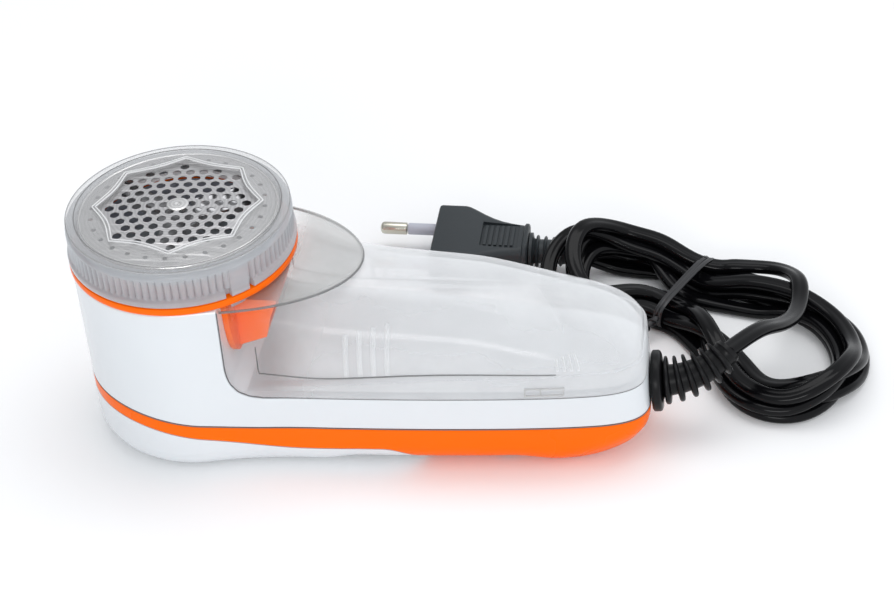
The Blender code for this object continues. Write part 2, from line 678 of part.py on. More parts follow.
def switches():
    cylinder("interlock_pin", 0.0008, 0.0412, 0.0586, "white_abs", PIN_SPOT, 12)
    box("interlock_switch", (-0.0272, -0.0032, 0.0345), (-0.0215, 0.0032, 0.0408), "black_plastic")
    box("switch_body", (0.0585, 0.0135, 0.0165), (0.0745, 0.0205, 0.0236), "black_plastic")
    box("switch_slider", (0.0614, 0.0208, 0.0179), (0.0660, 0.0262, 0.0219), "orange_abs")


def electrics():
    box("rectifier_board", (0.0690, -0.0090, 0.0075), (0.1020, 0.0090, 0.0090), "board_green")
    cylinder("smoothing_capacitor", 0.0042, 0.0700, 0.0820, "black_plastic", (-0.0030, 0.0136), 20, "X")
    cylinder("dropper_resistor", 0.0022, 0.0850, 0.0960, "white_abs", (-0.0050, 0.0116), 16, "X")
    box("bridge_rectifier", (0.0860, 0.0010, 0.0093), (0.0930, 0.0070, 0.0125), "black_plastic")


def cord_anchor():
    clamp = box("cord_clamp", (0.1060, -0.0090, 0.0196), (0.1120, 0.0090, 0.0222), "black_plastic", 0.0004)
    for i, y in enumerate((-0.0062, 0.0062)):
        cut(clamp, cylinder(f"clamp_hole_{i + 1}", 0.0012, 0.0100, 0.0300, at=(0.1090, y), sides=12))
        turned(f"clamp_screw_{i + 1}", [
            (0.0, 0.0236), (0.0018, 0.0234), (0.0018, 0.0225), (0.0008, 0.0225), (0.0008, 0.0150),
            (0.0, 0.0146)], "zinc_steel", 12, False, (0.1090, y))
    droop = (0.0, 0.0, 0.0, 0.0006, 0.0008, 0.0010, 0.0012)
    wire("inner_lead", [(0.1215 - 0.0030 * i, 0.0, GLAND_Z - drop) for i, drop in enumerate(droop)],
         CORD_R, "cord_pvc")


def gland_route(distance):
    """A point of the strain relief's middle line, which bends away from the handle beyond its flange."""
    slope = math.atan(TAIL_SLOPE)
    along = Vector((math.cos(slope), 0.0, math.sin(slope)))
    flange_back = Vector((TAIL - TAIL_SLOPE * (GLAND_Z - 0.0100), 0.0, GLAND_Z))
    start = flange_back - along * 0.0065
    if distance <= GLAND_STRAIGHT:
        return start + along * distance
    bend = (distance - GLAND_STRAIGHT) / GLAND_BEND
    aside = Vector((0.0, 0.8, 0.6)) * GLAND_BEND * (1 - math.cos(bend))
    return start + along * (GLAND_STRAIGHT + GLAND_BEND * math.sin(bend)) + aside


def strain_relief():
    """Black boot: inner flange, neck through the wall, big flange outside and a bending ribbed sleeve."""
    stations = list(GLAND_PROFILE)
    for i in range(GLAND_RIBS):
        at = GLAND_RIB_FROM + GLAND_RIB_PITCH * i
        rib = 0.0066 - 0.00022 * i
        groove = 0.0048 - 0.00015 * i
        stations += [(at, groove), (at + 0.0001, rib), (at + 0.0014, rib), (at + 0.0015, groove)]
    stations += [(GLAND_END - 0.0008, 0.0040), (GLAND_END, 0.0036)]
    return wire("strain_relief", [gland_route(s) for s, _ in stations], 0.0050, "cord_pvc", 3,
                [radius for _, radius in stations])


# The mains lead outside

def smooth_route(points, per_span=4):
    """Points on a smooth curve through the route's own points."""
    knots = [Vector(point) for point in points]
    ends = [knots[0] * 2 - knots[1], *knots, knots[-1] * 2 - knots[-2]]
    route = []
    for i in range(1, len(ends) - 2):
        a, b, c, d = ends[i - 1:i + 3]
        for step in range(per_span):
            t = step / per_span
            route.append(0.5 * (2 * b + (c - a) * t + (2 * a - 5 * b + 4 * c - d) * t * t
                                + (3 * b - a - 3 * c + d) * t ** 3))
    return route + [ends[-2]]


def closed_smooth(points, per_span=3):
    """The same for a closed outline."""
    count = len(points)
    route = []
    for i in range(count):
        a, b, c, d = (Vector(points[(i + k - 1) % count]) for k in range(4))
        for step in range(per_span):
            t = step / per_span
            route.append(0.5 * (2 * b + (c - a) * t + (2 * a - 5 * b + 4 * c - d) * t * t
                                + (3 * b - a - 3 * c + d) * t ** 3))
    return [(p.x, p.y) for p in route]


def cord():
    exit_points = [gland_route(GLAND_END + beyond) for beyond in (0.0007, 0.0034)]
    wire("cord_lead", smooth_route((*exit_points, *LEAD_ROUTE), 3), CORD_R, "cord_pvc")
    wire("cord_tail", smooth_route(TAIL_ROUTE, 2), CORD_R, "cord_pvc")
    prism("cord_hank", closed_smooth(HANK_OUTLINE), HANK_FOOT, HANK_TOP, "cord_pvc")


def cord_tie():
    """Flat strap around the waist of the hank, square to it."""
    middle = (0.1374, 0.0620, (HANK_FOOT + HANK_TOP) / 2)
    turn = math.radians(-37)
    band = box("cord_tie", (-0.0022, -0.0142, -0.0055), (0.0022, 0.0142, 0.0055), "black_plastic")
    hole = box("tie_hole", (-0.0100, -0.0132, -0.0045), (0.0100, 0.0132, 0.0045))
    for obj in (band, hole):
        obj.location = middle
        obj.rotation_euler = (0.0, 0.0, turn)
    return cut(band, hole)


def plug():
    face, axis, height = PLUG_AT
    body = [(0.0, 0.0155), (0.0088, 0.0155), (0.0128, 0.0138), (0.0168, 0.0112), (0.0208, 0.0088),
            (0.0250, 0.0074), (0.0300, 0.0068)]
    outline = [(face + x, axis - y) for x, y in body] + [(face + x, axis + y) for x, y in reversed(body)]
    shell = prism("plug_body", outline, height - 0.0066, height + 0.0066, "plug_pvc")
    rounding = shell.modifiers.new("edges", "BEVEL")
    rounding.width = 0.0016
    rounding.segments = 2
    rounding.limit_method = "ANGLE"
    rounding.angle_limit = math.radians(50)
    ribs = [(0.0303, 0.0058), (0.0315, 0.0058), (0.0316, 0.0038)]
    for i in range(3):
        ribs += [(0.0326 + 0.0031 * i, 0.0037), (0.0327 + 0.0031 * i, 0.0047), (0.0341 + 0.0031 * i, 0.0047),
                 (0.0342 + 0.0031 * i, 0.0037)]
    ribs += [(0.0423, 0.0034)]
    wire("plug_strain_relief", [(face + x, axis, height) for x, _ in ribs], 0.0040, "plug_pvc", 2,
         [radius for _, radius in ribs])
    for i, side in enumerate((-1, 1)):
        spot = (axis + side * 0.0093, height)
        cylinder(f"pin_sleeve_{i + 1}", 0.0019, face - 0.0100, face - 0.0003, "pin_sleeve", spot, 16, "X")
        cylinder(f"plug_pin_{i + 1}", 0.0013, face - 0.0190, face - 0.0103, "nickel", spot, 16, "X",
                 tip=0.0020)


def main():
    main_housing()
    base_shell()
    belly_cover()
    housing_screws()
    head_collar()
    lint_chute()
    lint_container()
    motor()
    rotor()
    blade_carrier()
    blades()
    cutter_spring()
    foil_ring()
    foil()
    guard_cap()
    switches()
    electrics()
    cord_anchor()
    strain_relief()
    cord()
    cord_tie()
    plug()


main()
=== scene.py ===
"""Looks of the corded fabric shaver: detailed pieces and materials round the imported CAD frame.

Units are metres. Lengths along the handle are measured from the head's axis, as in the CAD, and every
new piece is placed by moving its origin to that axis.
"""

from math import acos, atan, atan2, copysign, cos, exp, hypot, log1p, pi, radians, sin, tau

import bmesh
import bpy
from mathutils import Matrix, Vector
from mathutils.geometry import interpolate_bezier


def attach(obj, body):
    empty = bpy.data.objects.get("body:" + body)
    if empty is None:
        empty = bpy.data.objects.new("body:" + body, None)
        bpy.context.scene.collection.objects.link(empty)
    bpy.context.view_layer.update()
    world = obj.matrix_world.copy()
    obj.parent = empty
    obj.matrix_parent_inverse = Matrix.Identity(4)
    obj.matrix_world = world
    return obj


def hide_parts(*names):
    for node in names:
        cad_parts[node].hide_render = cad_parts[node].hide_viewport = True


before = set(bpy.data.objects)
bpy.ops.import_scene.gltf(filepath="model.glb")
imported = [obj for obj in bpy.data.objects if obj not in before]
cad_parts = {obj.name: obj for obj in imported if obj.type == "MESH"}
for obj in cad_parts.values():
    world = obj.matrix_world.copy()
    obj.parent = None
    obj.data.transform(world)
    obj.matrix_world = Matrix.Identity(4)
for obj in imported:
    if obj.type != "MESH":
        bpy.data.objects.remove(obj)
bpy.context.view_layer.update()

# Sizes shared with the CAD
HEAD_X = -0.0489
HEAD_R = 0.0308
TAIL = 0.1297
TAIL_SLOPE = 0.11
RING_R = 0.0313
WALL = 0.002
GAP = 0.0003
HOUSING_TOP = 0.0562
COLLAR_TOP = 0.0586
RING_FOOT = 0.0589
RING_TOP = 0.069
GUARD_RIM = 0.0704
CHAMBER_FLOOR = 0.044
CHAMBER_R = 0.0258
DECK = 0.0258
BOX_BACK = 0.0152
BOX_WALL = 0.0014
PLATE_TOP = 0.0556
PLATE_LONG = 0.0496
PLATE_WIDE = 0.0274
FOIL_R = 0.027
FOIL_EDGE_Z = 0.0688
GLAND_Z = 0.0172
GLAND_R = 0.0086
GLAND_STRAIGHT = 0.0098
GLAND_BEND = 0.023
GLAND_RIBS = 6
GLAND_RIB_FROM = 0.0101
GLAND_RIB_PITCH = 0.0031
GLAND_END = GLAND_RIB_FROM + GLAND_RIB_PITCH * GLAND_RIBS + 0.0008
GLAND_HOLE_R = 0.0052
PLUG_FACE, PLUG_AXIS, PLUG_Z = 0.0576, 0.0728, 0.0072
PLUG_PIN_ASIDE = 0.0093
SCREW_SPOTS = ((-0.015, -0.0152), (-0.015, 0.0152), (0.09, -0.0132), (0.09, 0.0132))
PIN_SPOT = (-0.0273, 0.0)
PIN_BORE_R = 0.0011
SWITCH_FROM, SWITCH_TO = 0.0605, 0.0725

# The flat cord
CORD_WIDE = 0.0052
CORD_THICK = 0.0033

scene = bpy.context.scene
scene.view_settings.view_transform = "Standard"


# ---- camera

def place_camera():
    """The photo's view: from above, a little towards the tail, with a slight roll."""
    lift, swing, roll = radians(37.27), radians(9.18), radians(-2.89)
    aim = Vector((0.07236 + HEAD_X, 0.0, 0.04327))
    distance = 0.49366
    back = Vector((sin(swing) * cos(lift), -cos(swing) * cos(lift), sin(lift)))
    right = Vector((cos(swing), sin(swing), 0.0))
    up = back.cross(right)
    rolled_right = right * cos(roll) + up * sin(roll)
    rolled_up = up * cos(roll) - right * sin(roll)
    turn = Matrix((rolled_right, rolled_up, back)).transposed().to_4x4()
    data = bpy.data.cameras.new("camera")
    data.sensor_width = 36.0
    data.lens = 72.48
    data.clip_start = 0.01
    camera = bpy.data.objects.new("camera", data)
    camera.matrix_world = Matrix.Translation(aim + back * distance) @ turn
    scene.collection.objects.link(camera)
    scene.camera = camera


place_camera()


# ---- materials

class Finish:
    """A new material: its shader, and short ways to add nodes and wire them."""

    def __init__(self, name):
        self.made = bpy.data.materials.new(name)
        self.made.use_nodes = True
        self.tree = self.made.node_tree
        self.inputs = self.tree.nodes["Principled BSDF"].inputs

    def node(self, kind, values=(), links=(), out=0, **settings):
        """Adds a node with its settings, values and incoming links, and returns one of its outputs."""
        new = self.tree.nodes.new("ShaderNode" + kind)
        for key, value in settings.items():
            setattr(new, key, value)
        for key, value in values:
            new.inputs[key].default_value = value
        for key, source in links:
            self.tree.links.new(source, new.inputs[key])
        return new.outputs[out]

    def where(self):
        return self.node("TexCoord", out="Object")

    def noise(self, scale, detail):
        return self.node("TexNoise", (("Scale", scale), ("Detail", detail)), (("Vector", self.where()),))

    def spread(self, source, low, high, start=0.0, end=1.0, **settings):
        """A source's stretch from start to end, mapped to low up to high."""
        values = (("From Min", start), ("From Max", end), ("To Min", low), ("To Max", high))
        return self.node("MapRange", values, (("Value", source),), **settings)

    def feed(self, key, source):
        self.tree.links.new(source, self.inputs[key])

    def fix(self, **values):
        for key, value in values.items():
            self.inputs[key.replace("_", " ")].default_value = value

    def tone(self, colour, shade):
        scaled = self.node("VectorMath", ((0, colour),), (("Scale", shade),), operation="SCALE")
        self.feed("Base Color", scaled)

    def bump(self, source, strength, depth=0.0002):
        relief = self.node("Bump", (("Strength", strength), ("Distance", depth)), (("Height", source),))
        self.feed("Normal", relief)


def moulded(name, colour, roughness, speckle=0.03, grain=0.02, coat=0.0, tint=0.012, scale=900.0,
            specular=0.5):
    """Moulded plastic: slight colour drift, uneven gloss and a fine grain."""
    paint = Finish(name)
    drift = paint.noise(35.0, 3.0)
    paint.tone(colour, paint.spread(drift, 1 - tint * 2, 1.0, 0.3, 0.7))
    paint.feed("Roughness", paint.spread(drift, roughness - speckle, roughness + speckle, 0.3, 0.7))
    paint.bump(paint.noise(scale, 2.0), grain)
    paint.fix(Specular_IOR_Level=specular, Coat_Weight=coat, Coat_Roughness=0.08)
    return paint.made


def clear(name, colour, facing, grazing, roughness, front=None):
    """Clear moulded plastic: alpha rises from facing to grazing view, with a fine frosted texture.

    With front, a stretch along X is clearer: it ends between the first two stations, and its alpha is
    the third value's share of the rest.
    """
    paint = Finish(name)
    haze = paint.noise(60.0, 4.0)
    alpha = paint.spread(paint.node("LayerWeight", (("Blend", 0.35),), out="Facing"), facing, grazing)
    cloud = paint.spread(haze, 0.92, 1.08, 0.35, 0.65)
    seen = paint.node("Math", (), ((0, alpha), (1, cloud)), operation="MULTIPLY", use_clamp=True)
    if front:
        start, end, share = front
        along = paint.node("SeparateXYZ", (), (("Vector", paint.where()),))
        fade = paint.spread(along, share, 1.0, start, end, interpolation_type="SMOOTHSTEP")
        seen = paint.node("Math", (), ((0, seen), (1, fade)), operation="MULTIPLY")
    paint.feed("Alpha", seen)
    paint.feed("Roughness", paint.spread(haze, roughness * 0.8, roughness * 1.2, 0.35, 0.65))
    paint.bump(paint.noise(700.0, 2.0), 0.05)
    paint.fix(Base_Color=(*colour, 1.0), IOR=1.49)
    return paint.made


def brushed(name, colour, roughness, along="ring", grain=0.06):
    """Metal with a fine brushed grain, round the head's axis or across it."""
    paint = Finish(name)
    if along == "ring":
        lines = paint.node("TexWave", (("Scale", 300.0), ("Distortion", 2.0), ("Detail", 3.0)),
                           (("Vector", paint.where()),), out="Fac", wave_type="RINGS", rings_direction="Z")
    else:
        lines = paint.noise(500.0, 3.0)
    paint.tone(colour, paint.spread(lines, 0.88, 1.0))
    paint.feed("Roughness", paint.spread(lines, roughness - 0.06, roughness + 0.06))
    paint.bump(lines, grain, 0.0001)
    paint.fix(Metallic=1.0)
    return paint.made


WHITE = moulded("white_gloss", (0.73, 0.76, 0.785), 0.22, coat=0.2, specular=0.4)
ORANGE = moulded("orange_gloss", (1.0, 0.15, 0.001), 0.28, tint=0.02, specular=0.1)
CLEAR_BOX = clear("clear_box", (0.93, 0.94, 0.95), 0.25, 0.68, 0.12, front=(0.0235, 0.042, 0.13))
# Painted shade: dark clear grey for beads along clear edges (lint box foot line, plate rim, guard inner rim).
CLEAR_EDGE_SHADE = clear("clear_edge", (0.22, 0.22, 0.22), 0.6, 0.85, 0.2)
CLEAR_PLATE = clear("clear_plate", (0.6, 0.6, 0.59), 0.34, 0.8, 0.12, front=(0.0262, 0.0345, 0.28))
CLEAR_RING = clear("clear_ring", (0.54, 0.56, 0.585), 0.5, 0.9, 0.12)
CLEAR_GUARD = clear("clear_guard", (0.6, 0.6, 0.6), 0.05, 0.66, 0.06)
# Painted highlight: near-white clear beads along the guard's ridge.
CLEAR_RIDGE_HIGHLIGHT = clear("clear_ridge", (0.92, 0.92, 0.92), 0.62, 0.9, 0.1)
# Painted shade: dark clear grey for a line on the guard's outer rim.
CLEAR_RIM_SHADE = clear("clear_rim", (0.34, 0.34, 0.34), 0.62, 0.9, 0.14)
FOIL = brushed("foil_metal", (0.62, 0.61, 0.61), 0.34)
HUB = brushed("hub_metal", (0.8, 0.79, 0.78), 0.26)
STEEL = brushed("zinc_steel", (0.56, 0.57, 0.59), 0.34, along="across")
BLADE = brushed("blade_metal", (0.5, 0.5, 0.51), 0.3, along="across")
BRASS = brushed("brass_turned", (0.72, 0.52, 0.22), 0.3, along="across")
COPPER = brushed("copper_wire", (0.75, 0.34, 0.17), 0.35, along="across", grain=0.3)
MAGNET = moulded("magnet_grey", (0.1, 0.1, 0.11), 0.65, grain=0.3, scale=1500.0)
MID = moulded("mid_grey_plastic", (0.38, 0.38, 0.39), 0.4, grain=0.05)
BLACK = moulded("black_plastic", (0.018, 0.018, 0.02), 0.38, grain=0.05)
# Painted shade: dark grey for thin beads laid in the shell seams, standing in for the gaps' shadow lines.
SEAM_SHADE = moulded("seam_shadow", (0.16, 0.16, 0.165), 0.6)
BOARD = moulded("board_green", (0.03, 0.16, 0.07), 0.42, grain=0.1)
CORD_SKIN = moulded("cord_pvc", (0.0026, 0.0026, 0.0032), 0.17, speckle=0.05, grain=0.03, scale=500.0,
                    specular=0.17)
BOOT_SKIN = moulded("boot_pvc", (0.005, 0.005, 0.0056), 0.34, speckle=0.05, grain=0.06, scale=500.0,
                    specular=0.18)
PLUG_SKIN = moulded("plug_pvc", (0.03, 0.036, 0.04), 0.45, speckle=0.05, grain=0.1, scale=650.0,
                    specular=0.3)
PIN_METAL = brushed("pin_nickel", (0.6, 0.58, 0.5), 0.25, along="across")
SLEEVE = moulded("sleeve_plastic", (0.5, 0.51, 0.58), 0.35, grain=0.05)


# ---- mesh helpers

def smooth(value):
    value = min(max(value, 0.0), 1.0)
    return value * value * (3 - 2 * value)


def lerp(a, b, share):
    return a + (b - a) * share


def settle(obj, finish, body, sharp, slot, *stands_for):
    """Puts a piece in the scene on a body, with its finish, and hides the CAD nodes it stands for. The slot
    argument is not used.
    """
    scene.collection.objects.link(obj)
    obj.location = (HEAD_X, 0.0, 0.0)
    obj.data.materials.clear()
    obj.data.materials.append(finish)
    obj.data.shade_smooth()
    obj.data.set_sharp_from_angle(angle=radians(sharp))
    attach(obj, body)
    if stands_for:
        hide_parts(*stands_for)
    return obj


def made_object(name, form):
    """The object that a finished bmesh becomes."""
    mesh = bpy.data.meshes.new(name)
    form.to_mesh(mesh)
    form.free()
    return bpy.data.objects.new(name, mesh)


def mesh_object(name, build):
    form = bmesh.new()
    build(form)
    bmesh.ops.remove_doubles(form, verts=form.verts, dist=1e-7)
    bmesh.ops.recalc_face_normals(form, faces=form.faces)
    return made_object(name, form)


def loft(name, rings, ends="face"):
    """A solid through rings of points. An end is a face, or strips across a mirrored ring, or joined."""

    def build(form):
        levels = [[form.verts.new(point) for point in ring] for ring in rings]
        for ring, other in zip(levels, levels[1:] + levels[:1] * (ends == "joined")):
            for i in range(len(ring)):
                j = (i + 1) % len(ring)
                form.faces.new((ring[i], ring[j], other[j], other[i]))
        for ring in (levels[0], levels[-1]):
            if ends == "face":
                form.faces.new(ring)
            elif ends == "strips":
                half = len(ring) // 2
                form.faces.new((ring[0], ring[1], ring[-1]))
                for i in range(1, half - 1):
                    form.faces.new((ring[i], ring[i + 1], ring[-i - 1], ring[-i]))
                form.faces.new(ring[half - 1:half + 2])

    return mesh_object(name, build)


def circle(radius, count, wide=1.0):
    """(x, y) points round a circle, which wide stretches along x."""
    return [(wide * radius * cos(tau * i / count), radius * sin(tau * i / count))
            for i in range(count)]


def lathe(name, profile, steps, closed=True, radius_at=lambda row, radius, angle: radius):
    """A turned piece from (radius, height) points; radius_at may change a row's radius by angle."""
    rings = []
    for row, (radius, height) in enumerate(profile):
        ring = []
        for angle in (tau * i / steps for i in range(steps)):
            reach = radius_at(row, radius, angle)
            ring.append((reach * cos(angle), reach * sin(angle), height))
        rings.append(ring)
    return loft(name, rings, "joined" if closed else "face")


def prism(name, outlines, low, high, along="Z"):
    """Outlines with thickness: (x, y) points raised along Z, or (x, z) points run along Y."""
    curve = bpy.data.curves.new(name, "CURVE")
    curve.dimensions = "2D"
    curve.fill_mode = "BOTH"
    curve.extrude = (high - low) / 2
    for outline in outlines:
        spline = curve.splines.new("POLY")
        spline.points.add(len(outline) - 1)
        for point, (x, y) in zip(spline.points, outline):
            point.co = (x, y, 0.0, 1.0)
        spline.use_cyclic_u = True
    guide = bpy.data.objects.new(name + "_outline", curve)
    scene.collection.objects.link(guide)
    mesh = bpy.data.meshes.new_from_object(guide.evaluated_get(bpy.context.evaluated_depsgraph_get()))
    bpy.data.objects.remove(guide)
    middle = (low + high) / 2
    form = bmesh.new()
    form.from_mesh(mesh)
    bmesh.ops.remove_doubles(form, verts=form.verts, dist=1e-6)
    bmesh.ops.recalc_face_normals(form, faces=form.faces)
    for vert in form.verts:
        x, y, z = vert.co
        vert.co = (x, y, z + middle) if along == "Z" else (x, middle - z, y)
    form.to_mesh(mesh)
    form.free()
    return bpy.data.objects.new(name, mesh)


def block(name, low, high):
    outline = [(low[0], low[1]), (high[0], low[1]), (high[0], high[1]), (low[0], high[1])]
    return prism(name, [outline], low[2], high[2])


def rod(name, radius, low, high, at=(0.0, 0.0), along="Z", steps=48):
    outline = circle(radius, steps)
    if along == "Z":
        return prism(name, [[(x + at[0], y + at[1]) for x, y in outline]], low, high)
    return loft(name, [[(station, at[0] + y, at[1] + z) for y, z in outline] for station in (low, high)])


def carve(obj, *others):
    """Cuts the others out of a piece, in order; one given as ("UNION", other) is added instead."""
    pairs = [other if isinstance(other, tuple) else ("DIFFERENCE", other) for other in others]
    scene.collection.objects.link(obj)
    for operation, other in pairs:
        scene.collection.objects.link(other)
        step = obj.modifiers.new(other.name[:40], "BOOLEAN")
        step.operation = operation
        step.object = other
        step.solver = "EXACT"
    graph = bpy.context.evaluated_depsgraph_get()
    graph.update()
    mesh = bpy.data.meshes.new_from_object(obj.evaluated_get(graph))
    name = obj.name
    for gone in [obj, *(other for _, other in pairs)]:
        bpy.data.objects.remove(gone, do_unlink=True)
    form = bmesh.new()
    form.from_mesh(mesh)
    bmesh.ops.remove_doubles(form, verts=form.verts, dist=2e-6)
    bmesh.ops.dissolve_degenerate(form, edges=form.edges, dist=1e-6)
    form.to_mesh(mesh)
    form.free()
    mesh.name = name
    return bpy.data.objects.new(name, mesh)


def join_meshes(name, parts):
    """One object from several, which keep their own faces."""
    form = bmesh.new()
    for part in parts:
        form.from_mesh(part.data)
        bpy.data.objects.remove(part)
    return made_object(name, form)


def spline_through(points, step):
    """Evenly spaced points on a smooth curve through the given ones."""
    knots = [Vector(point) for point in points]
    ends = [knots[0] * 2 - knots[1], *knots, knots[-1] * 2 - knots[-2]]
    dense = []
    for i in range(1, len(ends) - 2):
        a, b, c, d = ends[i - 1:i + 3]
        for k in range(24):
            t = k / 24
            dense.append(0.5 * (2 * b + (c - a) * t + (2 * a - 5 * b + 4 * c - d) * t * t
                                + (3 * b - a - 3 * c + d) * t ** 3))
    dense.append(knots[-1])
    return even(dense, step)


def even(dense, step):
    """The same line with its points a step apart."""
    total = sum((b - a).length for a, b in zip(dense, dense[1:]))
    count = max(int(total / step), 2)
    spacing = total / count
    made, run, target = [dense[0].copy()], 0.0, spacing
    for a, b in zip(dense, dense[1:]):
        length = (b - a).length
        while length > 0 and run + length >= target - 1e-12 and len(made) < count:
            made.append(a.lerp(b, (target - run) / length))
            target += spacing
        run += length
    made.append(dense[-1].copy())
    return made


def relaxed(line, times):
    """The line with its bends eased: each point moves towards its neighbours."""
    for _ in range(times):
        line = [line[0]] + [(a + b * 2 + c) / 4 for a, b, c in zip(line, line[1:], line[2:])] + [line[-1]]
    return line


def sweep(name, centres, sections, level=False):
    """A tube whose cross-section at each centre is a list of (side, up) offsets.

    With level set, the sideways axis stays horizontal, as a flat cord that lies down keeps it.
    """
    rings = []
    side = None
    for i, centre in enumerate(centres):
        ahead = (centres[min(i + 1, len(centres) - 1)] - centres[max(i - 1, 0)]).normalized()
        if level or side is None:
            side = Vector((-ahead.y, ahead.x, 0.0)).normalized()
        if not level:
            side = (side - ahead * side.dot(ahead)).normalized()
        up = ahead.cross(side).normalized()
        rings.append([tuple(centre + side * a + up * b) for a, b in sections[i]])
    return loft(name, rings)


# ---- the casing's shape

def bezier(start, start_pull, end_pull, end, steps):
    flat = [Vector((*point, 0.0)) for point in (start, start_pull, end_pull, end)]
    return [(p.x, p.y) for p in interpolate_bezier(*flat, steps)]


def half_outline():
    """One side of the casing's plan: around the head, along the handle and across the tail."""
    turn_end = radians(75)
    arc = [(HEAD_R * cos(a), HEAD_R * sin(a))
           for a in (lerp(pi, turn_end, i / 56) for i in range(57))]
    waist = bezier(arc[-1], (0.0165, 0.0275), (0.024, 0.0262), (0.036, 0.0256), 18)
    flank = bezier(waist[-1], (0.064, 0.0243), (0.096, 0.0218), (0.115, 0.0184), 48)
    corner = bezier(flank[-1], (0.124, 0.0166), (TAIL - 0.0004, 0.014), (TAIL - 0.0002, 0.007), 26)
    return arc + waist[1:] + flank[1:] + corner[1:] + [(TAIL, 0.0)]


HALF = half_outline()


def plan(inset=0.0, start=None):
    """The casing's plan moved in by inset: near side first, then back along the far side."""
    moved = []
    last = len(HALF) - 1
    for i, (x, y) in enumerate(HALF):
        before, after = HALF[max(i - 1, 0)], HALF[min(i + 1, last)]
        run = Vector((after[0] - before[0], after[1] - before[1])).normalized()
        if i in (0, last):
            run = Vector((0.0, 1.0 if i == 0 else -1.0))
        depth = min(inset, 0.0025) + max(inset - 0.0025, 0.0) * (1 - 0.6 * smooth((x - 0.098) / 0.018))
        moved.append((x + run.y * depth, y - run.x * depth))
    if start is not None:
        kept = [point for point in moved if point[0] > start + 0.0003]
        edge = next(y for x, y in moved if x > start)
        moved = [(start, 0.0), (start, edge * 0.5), (start, edge)] + kept
    near = [(x, -y) for x, y in moved]
    return near + moved[-2:0:-1]


def tail_lean(x, z):
    """How far the sloping end of the handle lies in from TAIL at a height."""
    return TAIL_SLOPE * max(z - 0.01, 0.0) * smooth((x - 0.1) / 0.028)


def top_line(x):
    """Top edge of the orange band, where it meets the white housing."""
    return 0.0152 + 0.006 * smooth((0.026 - x) / 0.048)


def low_line(x):
    """Bottom edge of the orange band, where it meets the belly cover."""
    return 0.0078 + 0.0092 * smooth((0.036 - x) / 0.056) - 0.014 * smooth((x - 0.056) / 0.026)


def bottom_line(x):
    """Underside along the handle: flat belly, shallow hollow, foot, and the rise to the tail."""
    hollow = 0.0014 * smooth((x - 0.038) / 0.012) * smooth((0.104 - x) / 0.012)
    return hollow + 0.0068 * smooth((x - 0.104) / 0.032)


def level(inset, height, start=None):
    """One ring of the casing: the plan at an inset, at a height that may change along the handle."""
    points = []
    for x, y in plan(inset, start):
        z = height(x) if callable(height) else height
        points.append((x - tail_lean(x, z), y, z))
    return points


def band_edge(rise):
    """Points along the orange band's lower edge, from ahead of the head to the handle's foot."""
    return [(x, low_line(x) + rise) for x in (lerp(-0.05, 0.1, i / 120) for i in range(121))]


def side_cutter(name, outline):
    return prism(name, [outline], -0.045, 0.045, along="Y")


# ---- the cord's route

def gland_route(distance):
    """A point of the strain relief's middle line, which bends away from the handle beyond its flange."""
    slope = atan(TAIL_SLOPE)
    along = Vector((cos(slope), 0.0, sin(slope)))
    flange_back = Vector((TAIL - TAIL_SLOPE * (GLAND_Z - 0.01), 0.0, GLAND_Z))
    start = flange_back - along * 0.0065
    if distance <= GLAND_STRAIGHT:
        return start + along * distance
    bend = (distance - GLAND_STRAIGHT) / GLAND_BEND
    aside = Vector((0.0, 0.8, 0.6)) * GLAND_BEND * (1 - cos(bend))
    return start + along * (GLAND_STRAIGHT + GLAND_BEND * sin(bend)) + aside


TIE = Vector((0.1368, 0.0575, 0.0))  # where the twist tie grips the hank
TIE_TURN = radians(-27)  # the strands' direction there
TIE_ALONG = Vector((cos(TIE_TURN), sin(TIE_TURN), 0.0))
TIE_ACROSS = Vector((-sin(TIE_TURN), cos(TIE_TURN), 0.0))
FAR_SLOTS = (0.0134, 0.0081, 0.0028, 0.0134, 0.0081, 0.0125)
NEAR_SLOTS = (-0.0134, -0.0081, -0.0027, -0.0134, -0.0081)
# Each turn's two lobes: middle x and y, half length along x and along y
RIGHT_LOBES = (
    (0.1655, 0.03, 0.0178, 0.0245), (0.1715, 0.034, 0.0182, 0.0228), (0.165, 0.0285, 0.0185, 0.0235),
    (0.1712, 0.0325, 0.0178, 0.0208), (0.1675, 0.03, 0.019, 0.024))
LEFT_LOBES = (
    (0.119, 0.061, 0.016, 0.0165), (0.121, 0.0605, 0.0165, 0.0155), (0.118, 0.0625, 0.0158, 0.0172),
    (0.1125, 0.058, 0.018, 0.0165), (0.1185, 0.061, 0.0165, 0.0158))
LEAD = (
    (0.153, 0.0672, 0.008), (0.1605, 0.068, 0.0088), (0.1668, 0.065, 0.0096),
    (0.1707, 0.058, 0.0104), (0.1713, 0.049, 0.0116), (0.1692, 0.038, 0.0134),
    (0.1646, 0.0274, 0.017), (0.1588, 0.019, 0.0227))


def through_tie(slot, direction, turn=0.0):
    """Three points through the tie, in one strand's place across it."""
    middle = TIE + TIE_ACROSS * slot
    turn = radians(turn)
    reach = (TIE_ALONG * cos(turn) + TIE_ACROSS * sin(turn)) * 0.006 * direction
    return [middle - reach, middle, middle + reach]


def lobe(shape, first, last, count):
    x, y, wide, tall = shape
    return [Vector((x + wide * cos(a), y + tall * sin(a), 0.0))
            for a in (radians(lerp(first, last, i / (count - 1))) for i in range(count))]


def hank_plan():
    """The flat route from the plug to the last pass through the tie, as seen from above."""
    route = [Vector((0.1001, PLUG_AXIS, 0.0)), Vector((0.106, 0.073, 0.0)), Vector((0.115, 0.073, 0.0)),
             Vector((0.125, 0.0715, 0.0))]
    for turn in range(5):
        route += through_tie(FAR_SLOTS[turn], 1)
        route += lobe(RIGHT_LOBES[turn], 68, -163, 9)
        route += through_tie(NEAR_SLOTS[turn], -1)
        route += lobe(LEFT_LOBES[turn], -122, -282, 6)
    route += through_tie(FAR_SLOTS[5], 1, 20.0)
    return route


